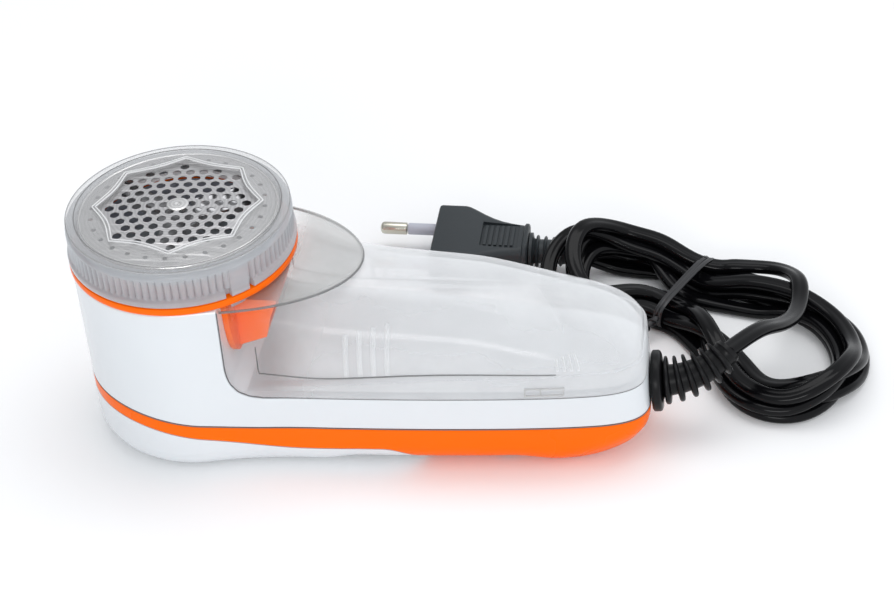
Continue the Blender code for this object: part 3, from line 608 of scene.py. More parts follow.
def drape_in_turns(route, given, step):
    """Lays the route in rounds, so that every later strand rests on the settled shape of the earlier."""
    cell, half_wide, half_thick = 0.0006, 0.0013, 0.00148
    steepest = 0.42
    grip_from, grip_top = 0.0865, 0.012
    chunk, reach = int(0.02 / step), int(0.06 / step)
    count = len(route)
    laid = {}

    def footprint(i):
        centre = route[i]
        ahead = (route[min(i + 1, count - 1)] - route[max(i - 1, 0)]).normalized()
        side = Vector((-ahead.y, ahead.x, 0.0))
        return [(round((centre.x + side.x * half_wide * k / 4) / cell),
                 round((centre.y + side.y * half_wide * k / 4) / cell)) for k in range(-4, 5)]

    prints = [footprint(i) for i in range(count)]
    for i in range(20):
        for j in range(-10, 11):
            laid[round(grip_from / cell) + i, round(PLUG_AXIS / cell) + j] = grip_top

    def need(i):
        under = 0.0
        for a, b in prints[i]:
            for da in (-1, 0, 1):
                for db in (-1, 0, 1):
                    under = max(under, laid.get((a + da, b + db), 0.0))
        return max(under + half_thick, given[i])

    settled = [0.0] * count
    for begin in range(0, count, chunk):
        # What lies up to a run ahead decides how early the strand starts to climb.
        window = range(begin, min(begin + chunk + reach, count))
        wanted = {i: need(i) for i in window}
        if begin:
            wanted[begin - 1] = settled[begin - 1]
        last = window[-1]
        for i in range(last - 1, begin - 1, -1):
            wanted[i] = max(wanted[i], wanted[i + 1] - steepest * step)
        for i in range(begin, min(begin + chunk, count)):
            if i:
                wanted[i] = max(wanted[i], settled[i - 1] - steepest * step)
            settled[i] = wanted[i]
        # The newest stretch isn't an obstacle to itself, so it's laid a little behind the front.
        for j in range(max(begin - chunk, 0), begin):
            for spot in prints[j]:
                laid[spot] = max(laid.get(spot, 0.0), settled[j] + half_thick)
    for _ in range(3):
        blurred = list(settled)
        for i in range(2, count - 2):
            blurred[i] = sum(settled[i + k - 2] * w for k, w in enumerate((0.1, 0.2, 0.4, 0.2, 0.1)))
        settled = [max(b, s - 0.00025) for b, s in zip(blurred, settled)]
    return settled


def turned(outline, turn):
    """Points of an outline, turned about its middle by an angle."""
    c, s = cos(turn), sin(turn)
    return [(x * c - y * s, x * s + y * c) for x, y in outline]


def cord_section(turn):
    """Outline of the flat two-core cord: two round cores side by side, rolled by an angle."""
    core = CORD_THICK / 2
    apart = CORD_WIDE / 2 - core
    outline = []
    for side in (1, -1):
        for a in (radians(-112 + 224 * i / 10) for i in range(11)):
            outline.append((side * (apart + core * cos(a)), side * core * sin(a)))
    return turned(outline, turn)


def make_cord():
    step = 0.0017
    flat = relaxed(spline_through(hank_plan(), step), 8)
    tail_count = len(flat)
    last = flat[-1]
    lead = spline_through([last, *LEAD, gland_route(GLAND_END)], step)[1:]
    route = [point.copy() for point in flat + lead]
    given = [0.0] * len(route)
    for i in range(tail_count, len(route)):
        given[i] = lead[i - tail_count].z * smooth((i - tail_count) / (0.02 / step))
    run_in = int(0.016 / step)
    for i in range(run_in):
        given[i] = lerp(PLUG_Z, 0.0, smooth(i / run_in))
    flat_route = [Vector((p.x, p.y, 0.0)) for p in route]
    heights = drape_in_turns(flat_route, given, step)
    path = [Vector((p.x, p.y, z)) for p, z in zip(route, heights)]
    path[-1] = gland_route(GLAND_END)
    path[0].z = PLUG_Z
    path = relaxed(path, 3)
    for i, point in enumerate(path):
        point.z = max(point.z, CORD_THICK / 2 + 0.0001)
    path.reverse()
    length = sum((b - a).length for a, b in zip(path, path[1:]))
    sections = [cord_section(0.16 * sin(i * step / 0.031)) for i in range(len(path))]
    piece = sweep("flat_cord", path, sections, level=True)
    settle(piece, CORD_SKIN, "housing", 60, "cord_pvc", "cord_lead", "cord_tail", "cord_hank")
    return piece, path, length


cord, cord_path, cord_length = make_cord()


def make_tie():
    """Black twist tie: two flat wraps round the strands, and its ends twisted together."""

    def flat(point):
        return Vector((point.x, point.y, 0.0)) - TIE

    near = [p for p in cord_path if flat(p).dot(TIE_ALONG) ** 2 < 0.0016 ** 2
            and abs(flat(p).dot(TIE_ACROSS)) < 0.019]
    top = max(p.z for p in near) + CORD_THICK / 2 + 0.0006
    across = [(p - TIE).dot(TIE_ACROSS) for p in near]
    low_side = min(across) - CORD_WIDE / 2 - 0.0005
    high_side = max(across) + CORD_WIDE / 2 + 0.0005
    middle, half = (low_side + high_side) / 2, (high_side - low_side) / 2
    band = ((-0.0008, 0.0), (-0.0007, 0.0003), (-0.0003, 0.0003), (0.0, 0.00055), (0.0003, 0.0003),
            (0.0007, 0.0003), (0.0008, 0.0), (0.0, -0.0002))
    parts = []
    for wrap, offset in enumerate((-0.0009, 0.001)):
        rings = []
        for angle in (tau * i / 72 for i in range(72)):
            c, s = cos(angle), sin(angle)
            a = middle + half * copysign(abs(c) ** 0.5, c)
            z = top / 2 + (top / 2 - 0.0003) * copysign(abs(s) ** 0.62, s)
            lean = 0.0007 * sin(angle + wrap * 1.3)
            centre = TIE + TIE_ACROSS * a + TIE_ALONG * (offset + lean) + Vector((0.0, 0.0, z))
            out = centre - TIE - TIE_ACROSS * middle - Vector((0, 0, top / 2))
            out = (out - TIE_ALONG * out.dot(TIE_ALONG)).normalized()
            rings.append([tuple(centre + TIE_ALONG * along + out * rise) for along, rise in band])
        parts.append(loft(f"tie_wrap_{wrap}", rings, "joined"))

    knot = TIE + TIE_ACROSS * (low_side - 0.0004) + Vector((0.0, 0.0, top * 0.55))
    away = Vector((-0.62, -0.6, 0.0)).normalized()
    side = Vector((-away.y, away.x, 0.0))
    long, pitch, count = 0.025, 0.0052, 90
    wire = [(-0.0009, 0.0), (-0.0008, 0.00035), (0.0, 0.0005), (0.0008, 0.00035), (0.0009, 0.0),
            (0.0008, -0.00035), (0.0, -0.0005), (-0.0008, -0.00035)]
    for strand in (0, 1):
        line, sections = [], []
        for i in range(count):
            run = long * i / (count - 1)
            droop = lerp(knot.z, 0.0016, smooth(run / 0.012))
            twist = tau * run / pitch + pi * strand
            width = 0.0009 * min(1.0, 0.3 + run / 0.004)
            line.append(knot + away * run + side * width * cos(twist)
                        + Vector((0.0, 0.0, droop - knot.z + width * sin(twist))))
            sections.append(turned(wire, twist + pi / 2))
        parts.append(sweep(f"tie_end_{strand}", line, sections, level=True))
    return settle(join_meshes("twist_tie", parts), BLACK, "housing", 50, "black_plastic", "cord_tie")


twist_tie = make_tie()


def make_strain_relief():
    """Black boot: a round flange on the handle's end and a tapering sleeve of rings."""
    stations = [(0.0, 0.006), (0.0003, 0.0062), (0.0017, 0.0062), (0.0019, 0.0048), (0.0066, 0.0048),
                (0.0068, 0.008), (0.007, 0.0084), (0.0073, GLAND_R), (0.0088, GLAND_R),
                (0.0092, 0.0084), (0.0095, 0.0078), (0.0097, 0.006), (0.0099, 0.005)]
    for i in range(GLAND_RIBS):
        at = GLAND_RIB_FROM + GLAND_RIB_PITCH * i
        rib = 0.0068 - 0.00026 * i
        core = 0.0044 - 0.00012 * i
        stations += [(at, core)] + [(at + ahead, rib - less) for ahead, less in (
            (0.00015, 0.0006), (0.0004, 0.0001), (0.0008, 0.0), (0.0012, 0.0001), (0.00145, 0.0006))]
        stations += [(at + 0.0016, core), (at + 0.0028, core - 0.0001)]
    stations += [(GLAND_END - 0.0006, 0.0041), (GLAND_END - 0.0001, 0.0038), (GLAND_END + 0.0006, 0.0036)]
    piece = sweep("boot", [gland_route(s) for s, _ in stations],
                  [circle(radius, 48) for _, radius in stations])
    return settle(piece, BOOT_SKIN, "housing", 50, "cord_pvc", "strain_relief")


boot = make_strain_relief()


def rounded(half_wide, half_thick, corner):
    """Points of a rounded rectangle, corner by corner."""
    outline, count = [], 9
    for quarter, (sx, sy) in enumerate(((1, 1), (-1, 1), (-1, -1), (1, -1))):
        for i in range(count):
            a = radians(90 * quarter + 90 * i / (count - 1))
            outline.append((sx * (half_wide - corner) + corner * cos(a),
                            sy * (half_thick - corner) + corner * sin(a)))
    return outline


def plug_block(name, side, along, half_wide, depth):
    """A block across the plug's flat side: reach behind the face, half width, depths from the middle."""
    low, high = sorted((PLUG_Z + side * depth[0], PLUG_Z + side * depth[1]))
    return block(name, (PLUG_FACE + along[0], PLUG_AXIS - half_wide, low),
                 (PLUG_FACE + along[1], PLUG_AXIS + half_wide, high))


def plug_tube(name, stations, aside=0.0, count=32, wide=1.0):
    """A round piece of the plug from (distance behind its face, radius) stations."""
    return sweep(name, [Vector((PLUG_FACE + x, PLUG_AXIS + aside, PLUG_Z)) for x, _ in stations],
                 [circle(radius, count, wide) for _, radius in stations])


def make_plug():
    """Flat two-pin plug: broad face, waisted grip with a ribbed panel, collar and ribbed sleeve."""
    shape = (  # distance from the face, half width, half thickness, corner
        (0.0, 0.0148, 0.006, 0.0022), (0.0003, 0.0153, 0.0065, 0.0024), (0.0009, 0.0155, 0.0067, 0.0025),
        (0.0086, 0.0155, 0.0067, 0.0025), (0.01, 0.0152, 0.0066, 0.0026), (0.012, 0.0142, 0.0064, 0.0028),
        (0.015, 0.0124, 0.0061, 0.003), (0.018, 0.0108, 0.0058, 0.003), (0.021, 0.0096, 0.0056, 0.003),
        (0.024, 0.0088, 0.0055, 0.003), (0.0265, 0.0084, 0.0055, 0.0032), (0.0282, 0.0083, 0.0056, 0.0036),
        (0.0286, 0.0087, 0.0064, 0.0044), (0.029, 0.0088, 0.0066, 0.0048), (0.0296, 0.0088, 0.0066, 0.0048),
        (0.0299, 0.0084, 0.0062, 0.0046), (0.03, 0.007, 0.0056, 0.0044))
    body = loft("plug_shell", [[(PLUG_FACE + along, PLUG_AXIS + y, PLUG_Z + z) for y, z in rounded(*sizes)]
                               for along, *sizes in shape])
    sides = (1, -1)
    body = carve(body, *(plug_block(f"panel_{side}", side, (0.015, 0.0268), 0.0064, (0.005, 0.008))
                         for side in sides))
    ribs = []
    for side in sides:
        for i in range(6):
            at = 0.016 + 0.0017 * i
            ribs.append(plug_block(f"grip_{side}_{i}", side, (at, at + 0.0009), 0.0052, (0.0049, 0.00555)))
    body = settle(join_meshes("plug_shell", [body, *ribs]), PLUG_SKIN, "housing", 38, "plug_pvc", "plug_body")

    stations = [(0.0303, 0.0056), (0.0312, 0.0056), (0.0316, 0.004)]
    for i in range(4):
        at = 0.0322 + 0.0025 * i
        rib = 0.005 - 0.0002 * i
        stations += [(at, 0.0037), (at + 0.0002, rib - 0.0003), (at + 0.0006, rib),
                     (at + 0.001, rib - 0.0003), (at + 0.0012, 0.0037)]
    stations += [(0.042, 0.0036), (0.0424, 0.0032)]
    sleeve = plug_tube("plug_boot", stations, count=40, wide=1.12)
    pieces = [body, settle(sleeve, PLUG_SKIN, "housing", 50, "plug_pvc", "plug_strain_relief")]
    sleeve = ((0.0, 0.0018), (-0.0003, 0.0019), (-0.0096, 0.0019), (-0.0099, 0.0018), (-0.01, 0.0016))
    pin = ((-0.0103, 0.0014), (-0.0104, 0.0019), (-0.0108, 0.002), (-0.0178, 0.002),
           (-0.0184, 0.0018), (-0.0188, 0.0013), (-0.019, 0.0007))
    for i, side in ((1, -1), (2, 1)):
        for name, finish, slot, profile, node in (("insulation", SLEEVE, "pin_sleeve", sleeve, "pin_sleeve"),
                                                  ("contact", PIN_METAL, "nickel", pin, "plug_pin")):
            tube = plug_tube(f"{name}_{i}", profile, side * PLUG_PIN_ASIDE)
            pieces.append(settle(tube, finish, "housing", 50, slot, f"{node}_{i}"))
    return pieces


plug_pieces = make_plug()


# ---- the casing

def front_curve(x, foot, pull):
    """The lint box's front corner: down the drum's flat back at x and round to the deck."""
    return bezier((x, 0.037), (x + 0.0002, pull), (x + 0.003, foot), (x + 0.011, foot), 16)


def make_housing():
    """White shell with the head's drum, its flat back, and the deck that the lint box slides on."""

    def seam(x):
        return top_line(x) + GAP / 2

    shell = loft("housing_shell", [
        level(0.0003, seam), level(0.0, lambda x: seam(x) + 0.0003), level(0.0, HOUSING_TOP - 0.0005),
        level(0.0002, HOUSING_TOP - 0.00015), level(0.0005, HOUSING_TOP)], "strips")
    behind = BOX_BACK - WALL
    bay = carve(rod("motor_bay", HEAD_R - WALL - 0.0008, 0.006, CHAMBER_FLOOR - WALL, steps=96),
                block("bay_back", (behind, -0.04, DECK - 0.004), (0.06, 0.04, 0.06)))
    chamber = carve(rod("chamber", CHAMBER_R, CHAMBER_FLOOR, 0.08, steps=96),
                    block("chamber_back", (behind, -0.04, 0.02), (0.06, 0.04, 0.09)))
    shell = carve(
        shell,
        side_cutter("box_space", [(BOX_BACK, 0.07), *front_curve(BOX_BACK, DECK, 0.03),
                                  (0.16, DECK), (0.16, 0.07)]),
        loft("handle_inside", [level(WALL, 0.005), level(WALL, DECK - WALL)], "strips"), bay, chamber,
        block("mouth", (0.01, -0.0125, CHAMBER_FLOOR + 0.0004), (0.03, 0.0125, 0.05)),
        block("window", (SWITCH_FROM, 0.018, 0.0176), (SWITCH_TO, 0.03, 0.0222)),
        rod("shaft_hole", 0.0049, 0.03, 0.05), rod("pin_bore", PIN_BORE_R, 0.04, 0.06, at=PIN_SPOT, steps=20),
        rod("gland_hole", GLAND_HOLE_R, 0.11, 0.15, at=(0.0, GLAND_Z), along="X"))
    settle(shell, WHITE, "housing", 28, "white_abs", "main_housing")


def dish_levels():
    """Rings of the shell below the white housing, over the rounded bottom edge and down inside."""

    def above(rise):
        return lambda x: bottom_line(x) + rise

    def seam(x):
        return top_line(x) - GAP / 2

    rings = []
    for a in (radians(90 * i / 10) for i in range(11)):
        rings.append(level(0.008 * (1 - sin(a)), above(0.008 * (1 - cos(a)))))
    return rings + [
        level(0.0, lambda x: seam(x) - 0.0003), level(0.0003, seam), level(WALL, seam),
        *(level(inset, above(rise)) for inset, rise in (
            (WALL, 0.0086), (0.003, 0.0058), (0.0044, 0.004), (0.006, 0.0026), (0.0084, WALL)))]


def make_lower_shells():
    """Orange base and white belly cover, parted along the band's lower edge."""
    low, high = -0.01, 0.06

    def screw_holes(spots, name, through, recess):
        """A hole and a countersink at each spot."""
        made = []
        for i, at in enumerate(spots):
            made.append(rod(f"{name}_hole_{i}", 0.0016, low, through, at=at, steps=24))
            made.append(rod(f"{name}_recess_{i}", 0.0031, low, recess, at=at, steps=32))
        return made

    line = band_edge(GAP / 2)
    base = carve(loft("base_skin", dish_levels(), "strips"),
                 side_cutter("below_band", [(-0.05, low), *line[:-1], (0.1, low)]),
                 rod("gland_hole_2", GLAND_HOLE_R, 0.11, 0.15, at=(0.0, GLAND_Z), along="X"),
                 *screw_holes(SCREW_SPOTS[2:], "base", 0.01, 0.0025))
    settle(base, ORANGE, "housing", 28, "orange_abs", "base_shell")

    line = band_edge(-GAP / 2)
    bosses = [("UNION", rod(f"belly_boss_{i}", 0.0046, 0.001, 0.003, at=at, steps=32))
              for i, at in enumerate(SCREW_SPOTS[:2])]
    holes = screw_holes(SCREW_SPOTS[:2], "belly", 0.006, 0.0016)
    vents = []
    for i in range(5):
        x = 0.008 + 0.006 * i
        slot_line = [(x + 0.0011 + 0.0011 * cos(a), s * 0.0089 + 0.0011 * sin(a))
                     for s, first in ((1, 0), (-1, 180))
                     for a in (radians(first + 180 * k / 8) for k in range(9))]
        vents.append(prism(f"vent_{i}", [slot_line], low, 0.006))
    belly = carve(loft("belly_skin", dish_levels(), "strips"),
                  side_cutter("above_belly", [*line, (0.15, low), (0.15, high), (-0.05, high)]),
                  bosses[0], *holes[:2], bosses[1], *holes[2:], *vents)
    settle(belly, WHITE, "housing", 28, "white_abs", "belly_cover")


make_housing()
make_lower_shells()


# ---- the clear lint box

RIDGE_END = 0.097


def ledge_line(x):
    """Height of the ledge that the dome rises from, along the handle."""
    return 0.03 + 0.0037 * smooth((x - 0.018) / 0.08)


def ridge_line(x):
    """Top of the lint box's dome along its middle."""
    return 0.0543 - 0.0014 * smooth((x - 0.046) / 0.012) - 0.06 * max(x - 0.058, 0.0) - 0.0022 * smooth(
        (x - 0.076) / 0.026)


def ledge_depth(x):
    """How far the dome's foot stands in from the rim: a step along the flank, a line at the ends."""
    return 0.0006 + 0.0019 * smooth((x - 0.0215) / 0.002) * (1 - smooth((x - 0.06) / 0.045))


def dome_power(x):
    """How square the dome's section is: fullest behind the head, softest towards the tail."""
    return 2 / (2.1 + 2.9 * smooth((0.046 - x) / 0.03) - 0.5 * smooth((x - 0.08) / 0.035))


def soft_min(x, limit):
    """The smaller of the two, with a rounded change-over."""
    width = 0.004
    return limit - width * log1p(exp((limit - x) / width)) if x > limit - 12 * width else x


def dome_point(x, y, degrees, thickness=0.0, back=0.0):
    """The dome's point over a place on its rim, at an angle that rises from the ledge to the ridge."""
    ledge = ledge_line(x) - thickness
    fade = 1 - smooth(degrees / 60)
    y *= 1 - (ledge_depth(x) * (0.35 + 0.65 * fade)) / max(abs(y), 0.01)
    top_x = soft_min(x - back, RIDGE_END)
    angle = radians(degrees)
    inward, upward = cos(angle) ** dome_power(x), sin(angle) ** dome_power(x)
    return Vector((top_x + (x - back - top_x) * inward - tail_lean(x, ledge) * inward, y * inward,
                   ledge + (ridge_line(top_x) - thickness - ledge) * upward))


def dome_levels(inset, thickness, start, foot):
    """Rings of the lint box: upright rim, ledge, then arcs that rise from the ledge to the ridge."""
    rings = [level(inset, foot, start), level(inset, lambda x: ledge_line(x) - thickness - 0.0006, start),
             level(inset + 0.0002, lambda x: ledge_line(x) - thickness - 0.00015, start)]
    for degrees in (0.0, 2.5, 6, 10, 15, 20, 26, 32, 38, 44, 50, 56, 62, 68, 73, 78, 82, 85.5, 88):
        rings.append([tuple(dome_point(x, y, degrees, thickness, 0.0006 if x > 0.11 else 0.0))
                      for x, y in plan(inset, start)])
    return rings


def make_lint_box():
    """Clear dome, open towards the drum."""
    front = BOX_BACK + GAP
    outer = loft("lint_box", dome_levels(0.0, 0.0, front - 0.004, DECK + GAP), "strips")
    inner = loft("lint_box_inside", dome_levels(BOX_WALL, BOX_WALL, 0.005, DECK + GAP + BOX_WALL), "strips")
    cut_line = [(0.0, 0.01), (0.0, 0.08), (front, 0.08),
                *front_curve(front, DECK + GAP + 0.0001, 0.0302), (front + 0.011, 0.01)]
    piece = carve(outer, side_cutter("box_front", cut_line), inner)
    settle(piece, CLEAR_BOX, "lint_container", 32, "clear_plastic", "lint_container")


def make_plate():
    """Oval plate round the head's back, with a rolled edge."""
    front = BOX_BACK + GAP
    reach = acos((front - 0.002) / PLATE_LONG)
    count = 72
    rows = []
    for inset, drop in ((0.004, 0.0016), (0.0008, 0.0016), (0.0002, 0.0014), (0.0, 0.0009), (0.0, 0.0005),
                        (0.0003, 0.0001), (0.0008, 0.0), (0.004, 0.0)):
        rows.append([((PLATE_LONG - inset) * cos(a), (PLATE_WIDE - inset) * sin(a), PLATE_TOP - drop)
                     for a in (reach * (2 * i / count - 1) for i in range(count + 1))])

    def build(form):
        lines = [[form.verts.new(p) for p in row] for row in rows]
        for line, other in zip(lines, lines[1:]):
            for i in range(count):
                form.faces.new((line[i], line[i + 1], other[i + 1], other[i]))
        for line in (lines[0], lines[-1]):
            for i in range(count // 2):
                corners = (line[i], line[i + 1], line[count - i - 1], line[count - i])
                form.faces.new(list(dict.fromkeys(corners)))
        form.faces.new([line[0] for line in lines] + [line[count] for line in reversed(lines)])

    plate = carve(mesh_object("head_plate", build), side_cutter("plate_front", [
        (0.0, 0.01), (0.0, 0.08), (front, 0.08), (front, 0.01)]))
    settle(plate, CLEAR_PLATE, "lint_container", 40, "clear_plastic")


def flank_point(x, degrees, out=0.0):
    """A point on the near flank of the dome, above a place along the rim."""
    ys = [(px, py) for px, py in plan(0.0, BOX_BACK - 0.0037) if py < 0]
    for (x0, y0), (x1, y1) in zip(ys, ys[1:]):
        if x0 <= x <= x1 and x1 > x0:
            y = lerp(y0, y1, (x - x0) / (x1 - x0))
            break
    else:
        y = ys[-1][1]
    point = dome_point(x, y, degrees)
    if out:
        rise = flank_point(x, degrees + 1.5) - flank_point(x, max(degrees - 1.5, 0.0))
        ahead = flank_point(x + 0.0005, degrees) - flank_point(x - 0.0005, degrees)
        normal = ahead.cross(rise.normalized()).normalized()
        if normal.y > 0:
            normal.negate()
        point = point + normal * out
    return point


def make_ribs():
    """Finger ribs on both flanks of the lint box, and short ribs by the tail."""

    sunk = -0.00035
    section = ((-1.0, sunk), (-0.9, 0.25), (-0.55, 0.85), (0.0, 1.0), (0.55, 0.85), (0.9, 0.25), (1.0, sunk))

    def rib(name, x, low, high, wide, proud, count=26):
        rings = []
        for share in (i / count for i in range(count + 1)):
            swell = proud * min(1.0, 6 * share + 0.15, 6 * (1 - share) + 0.15)
            rings.append([flank_point(x + off * wide / 2, lerp(low, high, share),
                                      swell * lift if lift > 0 else lift) for off, lift in section])
        return loft(name, rings)

    parts = []
    for i in range(4):
        parts.append(rib(f"rib_{i}", 0.0475 + 0.0037 * i, 1.0, 33.0 + 3.5 * i, 0.0014, 0.00034))
    for i in range(4):
        parts.append(rib(f"short_rib_{i}", 0.1045 + 0.0021 * i, 6.0, 21.0 + 2.0 * i, 0.0009, 0.0003, 14))
    mirrored = []
    for part in parts:
        mesh = part.data.copy()
        for vert in mesh.vertices:
            vert.co.y = -vert.co.y
        mesh.flip_normals()
        mirrored.append(bpy.data.objects.new(part.name + "_far", mesh))
    settle(join_meshes("finger_ribs", parts + mirrored), CLEAR_BOX, "lint_container", 60, "clear_plastic")


def make_latch_windows():
    """Raised frames where the lint box's latches snap in, one on each flank."""
    bars = []
    for side in (-1, 1):
        for start, end, low, high in (
                (0.0958, 0.1057, 0.0271, 0.0275), (0.0958, 0.1057, 0.0294, 0.0298),
                (0.0954, 0.0958, 0.0271, 0.0298), (0.1057, 0.1061, 0.0271, 0.0298),
                (0.0996, 0.1, 0.0275, 0.0294)):
            rings = []
            for x in (lerp(start, end, share / 4) for share in range(5)):
                wall = max(abs(py) for px, py in plan() if abs(px - x) < 0.0012)
                rings.append([(x, side * (wall + a), z) for a, z in (
                    (-0.0004, low), (0.00025, low), (0.00025, high), (-0.0004, high))])
            bars.append(loft("latch_bar", rings))
    settle(join_meshes("latch_windows", bars), CLEAR_PLATE, "lint_container", 40, "clear_plastic")


make_lint_box()
make_plate()
make_ribs()
make_latch_windows()


# ---- the head

def thread(name, points, radius, finish, body, slot, closed=False):
    """A fine bead along a line: painted shade in a seam or along a clear edge, or a painted highlight along a
    ridge.
    """
    rings = []
    count = len(points)
    for i, point in enumerate(points):
        before = points[i - 1] if closed or i else point
        after = points[(i + 1) % count] if closed or i < count - 1 else point
        ahead = (after - before).normalized()
        side = ahead.cross(Vector((0.0, 0.0, 1.0) if abs(ahead.z) < 0.9 else (0.0, 1.0, 0.0))).normalized()
        up = side.cross(ahead)
        rings.append([tuple(point + side * a + up * b) for a, b in circle(radius, 6)])
    return settle(loft(name, rings, "joined" if closed else "face"), finish, body, 70, slot)


def make_seams():
    """Painted shade: fine dark lines where the shells meet, and along the lint box's foot line and plate rim.
    """

    def mirror(points):
        return [Vector((p.x, -p.y, p.z)) for p in points]

    near = [(x, y) for x, y in plan(0.0002) if y <= 0]
    front, foot = BOX_BACK + 0.00015, DECK + 0.00015
    corner = bezier((front, 0.037), (BOX_BACK + 0.0003, 0.0301), (BOX_BACK + 0.0031, foot),
                    (BOX_BACK + 0.011, foot), 16)
    line = [Vector((x, next(y for px, y in near if px >= x and px > 0), z))
            for x, z in [(front, 0.0553), *corner]]
    line += [Vector((x - tail_lean(x, DECK), y, foot)) for x, y in near if x > BOX_BACK + 0.0115]
    line.sort(key=lambda p: (p.x if p.z < 0.0262 else -p.z))
    line += mirror(p for p in reversed(line) if p.y < -0.0001)
    thread("box_seam", line, 0.00017, SEAM_SHADE, "housing", "white_abs")
    band = [Vector(p) for p in level(0.00012, top_line)]
    thread("band_seam", band, 0.00014, SEAM_SHADE, "housing", "orange_abs", closed=True)
    # Painted shade lines along the lint box's foot line, and below along the plate's rim.
    ledge = [flank_point(0.0236, d, 0.00005) for d in (11, 8, 5, 3, 1)]
    ledge += [flank_point(lerp(0.0238, 0.104, i / 60), 0.4, 0.00005) for i in range(61)]
    for name, points in (("foot_line_near", ledge), ("foot_line_far", mirror(ledge))):
        thread(name, points, 0.0002, CLEAR_EDGE_SHADE, "lint_container", "clear_plastic")
    reach = acos((BOX_BACK + GAP) / PLATE_LONG)
    rim = [Vector((PLATE_LONG * cos(a), PLATE_WIDE * sin(a), PLATE_TOP - 0.0011))
           for a in (reach * (2 * i / 90 - 1) for i in range(91))]
    thread("plate_rim", rim, 0.00035, CLEAR_EDGE_SHADE, "lint_container", "clear_plastic")


make_seams()


def make_collar():
    foot = HOUSING_TOP + GAP
    collar = lathe("collar_ring", [
        (0.0259, 0.0624), (0.0259, COLLAR_TOP), (0.0309, COLLAR_TOP), (0.0312, COLLAR_TOP - 0.0002),
        (RING_R, COLLAR_TOP - 0.0005), (RING_R, foot + 0.0003), (0.0311, foot), (0.025, foot),
        (0.025, 0.0624), (0.0252, 0.0625), (0.0257, 0.0625)], 160)
    collar = carve(collar, rod("collar_pin_bore", PIN_BORE_R, 0.04, 0.06, at=PIN_SPOT, steps=20))
    settle(collar, ORANGE, "housing", 35, "orange_abs", "head_collar")


def make_foil_ring():
    """Clear ring with a fluted skirt, a plain tab on the near side and a lip with notches beside it."""
    flutes = 96
    tab = (radians(308.6), radians(318.4))
    notches = ((radians(305.6), radians(308.6)), (radians(318.4), radians(321.0)))
    profile = [
        (0.0285, RING_TOP), (0.0292, RING_TOP), (0.0299, 0.0688), (0.0304, 0.0684), (0.0307, 0.0679),
        (0.0308, 0.0674), (0.0308, 0.0672), (0.0308, 0.0668), (0.0308, 0.064), (0.0308, 0.0616),
        (0.0307, 0.0612), (0.0309, 0.0609), (0.0312, 0.0607), (RING_R, 0.0604), (RING_R, 0.0592),
        (0.0311, RING_FOOT), (0.0264, RING_FOOT), (0.0264, 0.064), (0.0277, 0.064), (0.0277, 0.0686),
        (0.028, RING_TOP)]
    fluted = {7: 0.55, 8: 1.0, 9: 1.0}

    def radius_at(row, radius, angle):
        on_tab = tab[0] <= angle <= tab[1]
        if row in fluted and not on_tab:
            return radius - 0.001 * fluted[row] * (1 - abs(cos(angle * flutes / 2)) ** 0.7)
        if 10 <= row <= 15 and any(low <= angle <= high for low, high in notches):
            return 0.0294
        return 0.0311 if on_tab and 7 <= row <= 12 else radius

    ring = lathe("fluted_ring", profile, flutes * 10, radius_at=radius_at)
    arc = [lerp(radians(180 - 33), radians(180 - 2.5), i / 12) for i in range(13)]
    pocket = [(radius * cos(a), radius * sin(a))
              for radius, angles in ((0.0258, arc), (0.0292, arc[::-1])) for a in angles]
    ring = carve(ring, prism("pin_pocket", [pocket], 0.057, RING_FOOT + 0.0016))
    settle(ring, CLEAR_RING, "foil_ring", 42, "clear_plastic", "foil_ring")


def foil_height(radius):
    return FOIL_EDGE_Z + GAP + 0.0013 * (1 - min(radius / FOIL_R, 1.0) ** 2)


GUARD_SIDES = 8
GUARD_TURN = radians(8.1)
GUARD_CORNER = 0.0222


def guard_edge(angle, inset=0.0):
    """Radius of the guard's opening: eight corners joined by sides that curve inward."""
    step = tau / GUARD_SIDES
    share = ((angle - GUARD_TURN) % step) / step
    side = GUARD_CORNER * cos(step / 2) / cos((share - 0.5) * step)
    return side - 0.0011 * sin(pi * share) + inset


def make_foil():
    """Perforated metal foil: a honeycomb of large holes inside the guard and a ring of small ones."""
    pitch, row_gap, tilt = 0.00372, 0.00322, radians(8.4)
    holes = []
    for j in range(-8, 9):
        for i in range(-8, 9):
            a, b = (i + 0.5 * (j % 2)) * pitch, j * row_gap
            x = a * cos(tilt) + b * sin(tilt)
            y = a * sin(tilt) - b * cos(tilt)
            if not 0.003 <= hypot(x, y) <= guard_edge(atan2(y, x)) - 0.0006:
                continue
            hole = []
            for angle in (tau * k / 18 + tilt for k in range(18)):
                radius = 0.00128 * (1.0 + 0.035 * cos(6 * (angle - tilt + pi / 6)))
                hole.append((x + radius * cos(angle), y + radius * sin(angle)))
            holes.append(hole)
    for angle in (tau * (i + 0.45) / 28 for i in range(28)):
        holes.append([(0.0236 * cos(angle) + x, 0.0236 * sin(angle) + y) for x, y in circle(0.0007, 12)])
    net = prism("foil_net", [circle(FOIL_R, 144), *holes], 0.0, 0.0002)
    for vert in net.data.vertices:
        vert.co.z += foil_height(hypot(vert.co.x, vert.co.y))
    settle(net, FOIL, "foil_ring", 30, "foil_steel", "foil")
    rim = lathe("foil_rim", [
        (0.0274, FOIL_EDGE_Z), (0.0274, 0.0643), (0.0262, 0.0643), (0.0262, FOIL_EDGE_Z), (0.0263, 0.0692),
        (0.0265, 0.0694), (0.0268, 0.0695), (0.0271, 0.0694), (0.0273, 0.0692)], 128)
    settle(rim, HUB, "foil_ring", 35, "foil_steel", "foil_frame")
    hub = lathe("foil_hub", [(radius, foil_height(0.0) + rise) for radius, rise in (
        (0.0, 0.0002), (0.0006, 0.0002), (0.0008, 0.0004), (0.0026, 0.00045), (0.003, 0.0003),
        (0.0031, -0.0001), (0.0, -0.0001))], 48, closed=False)
    settle(hub, HUB, "foil_ring", 30, "foil_steel")


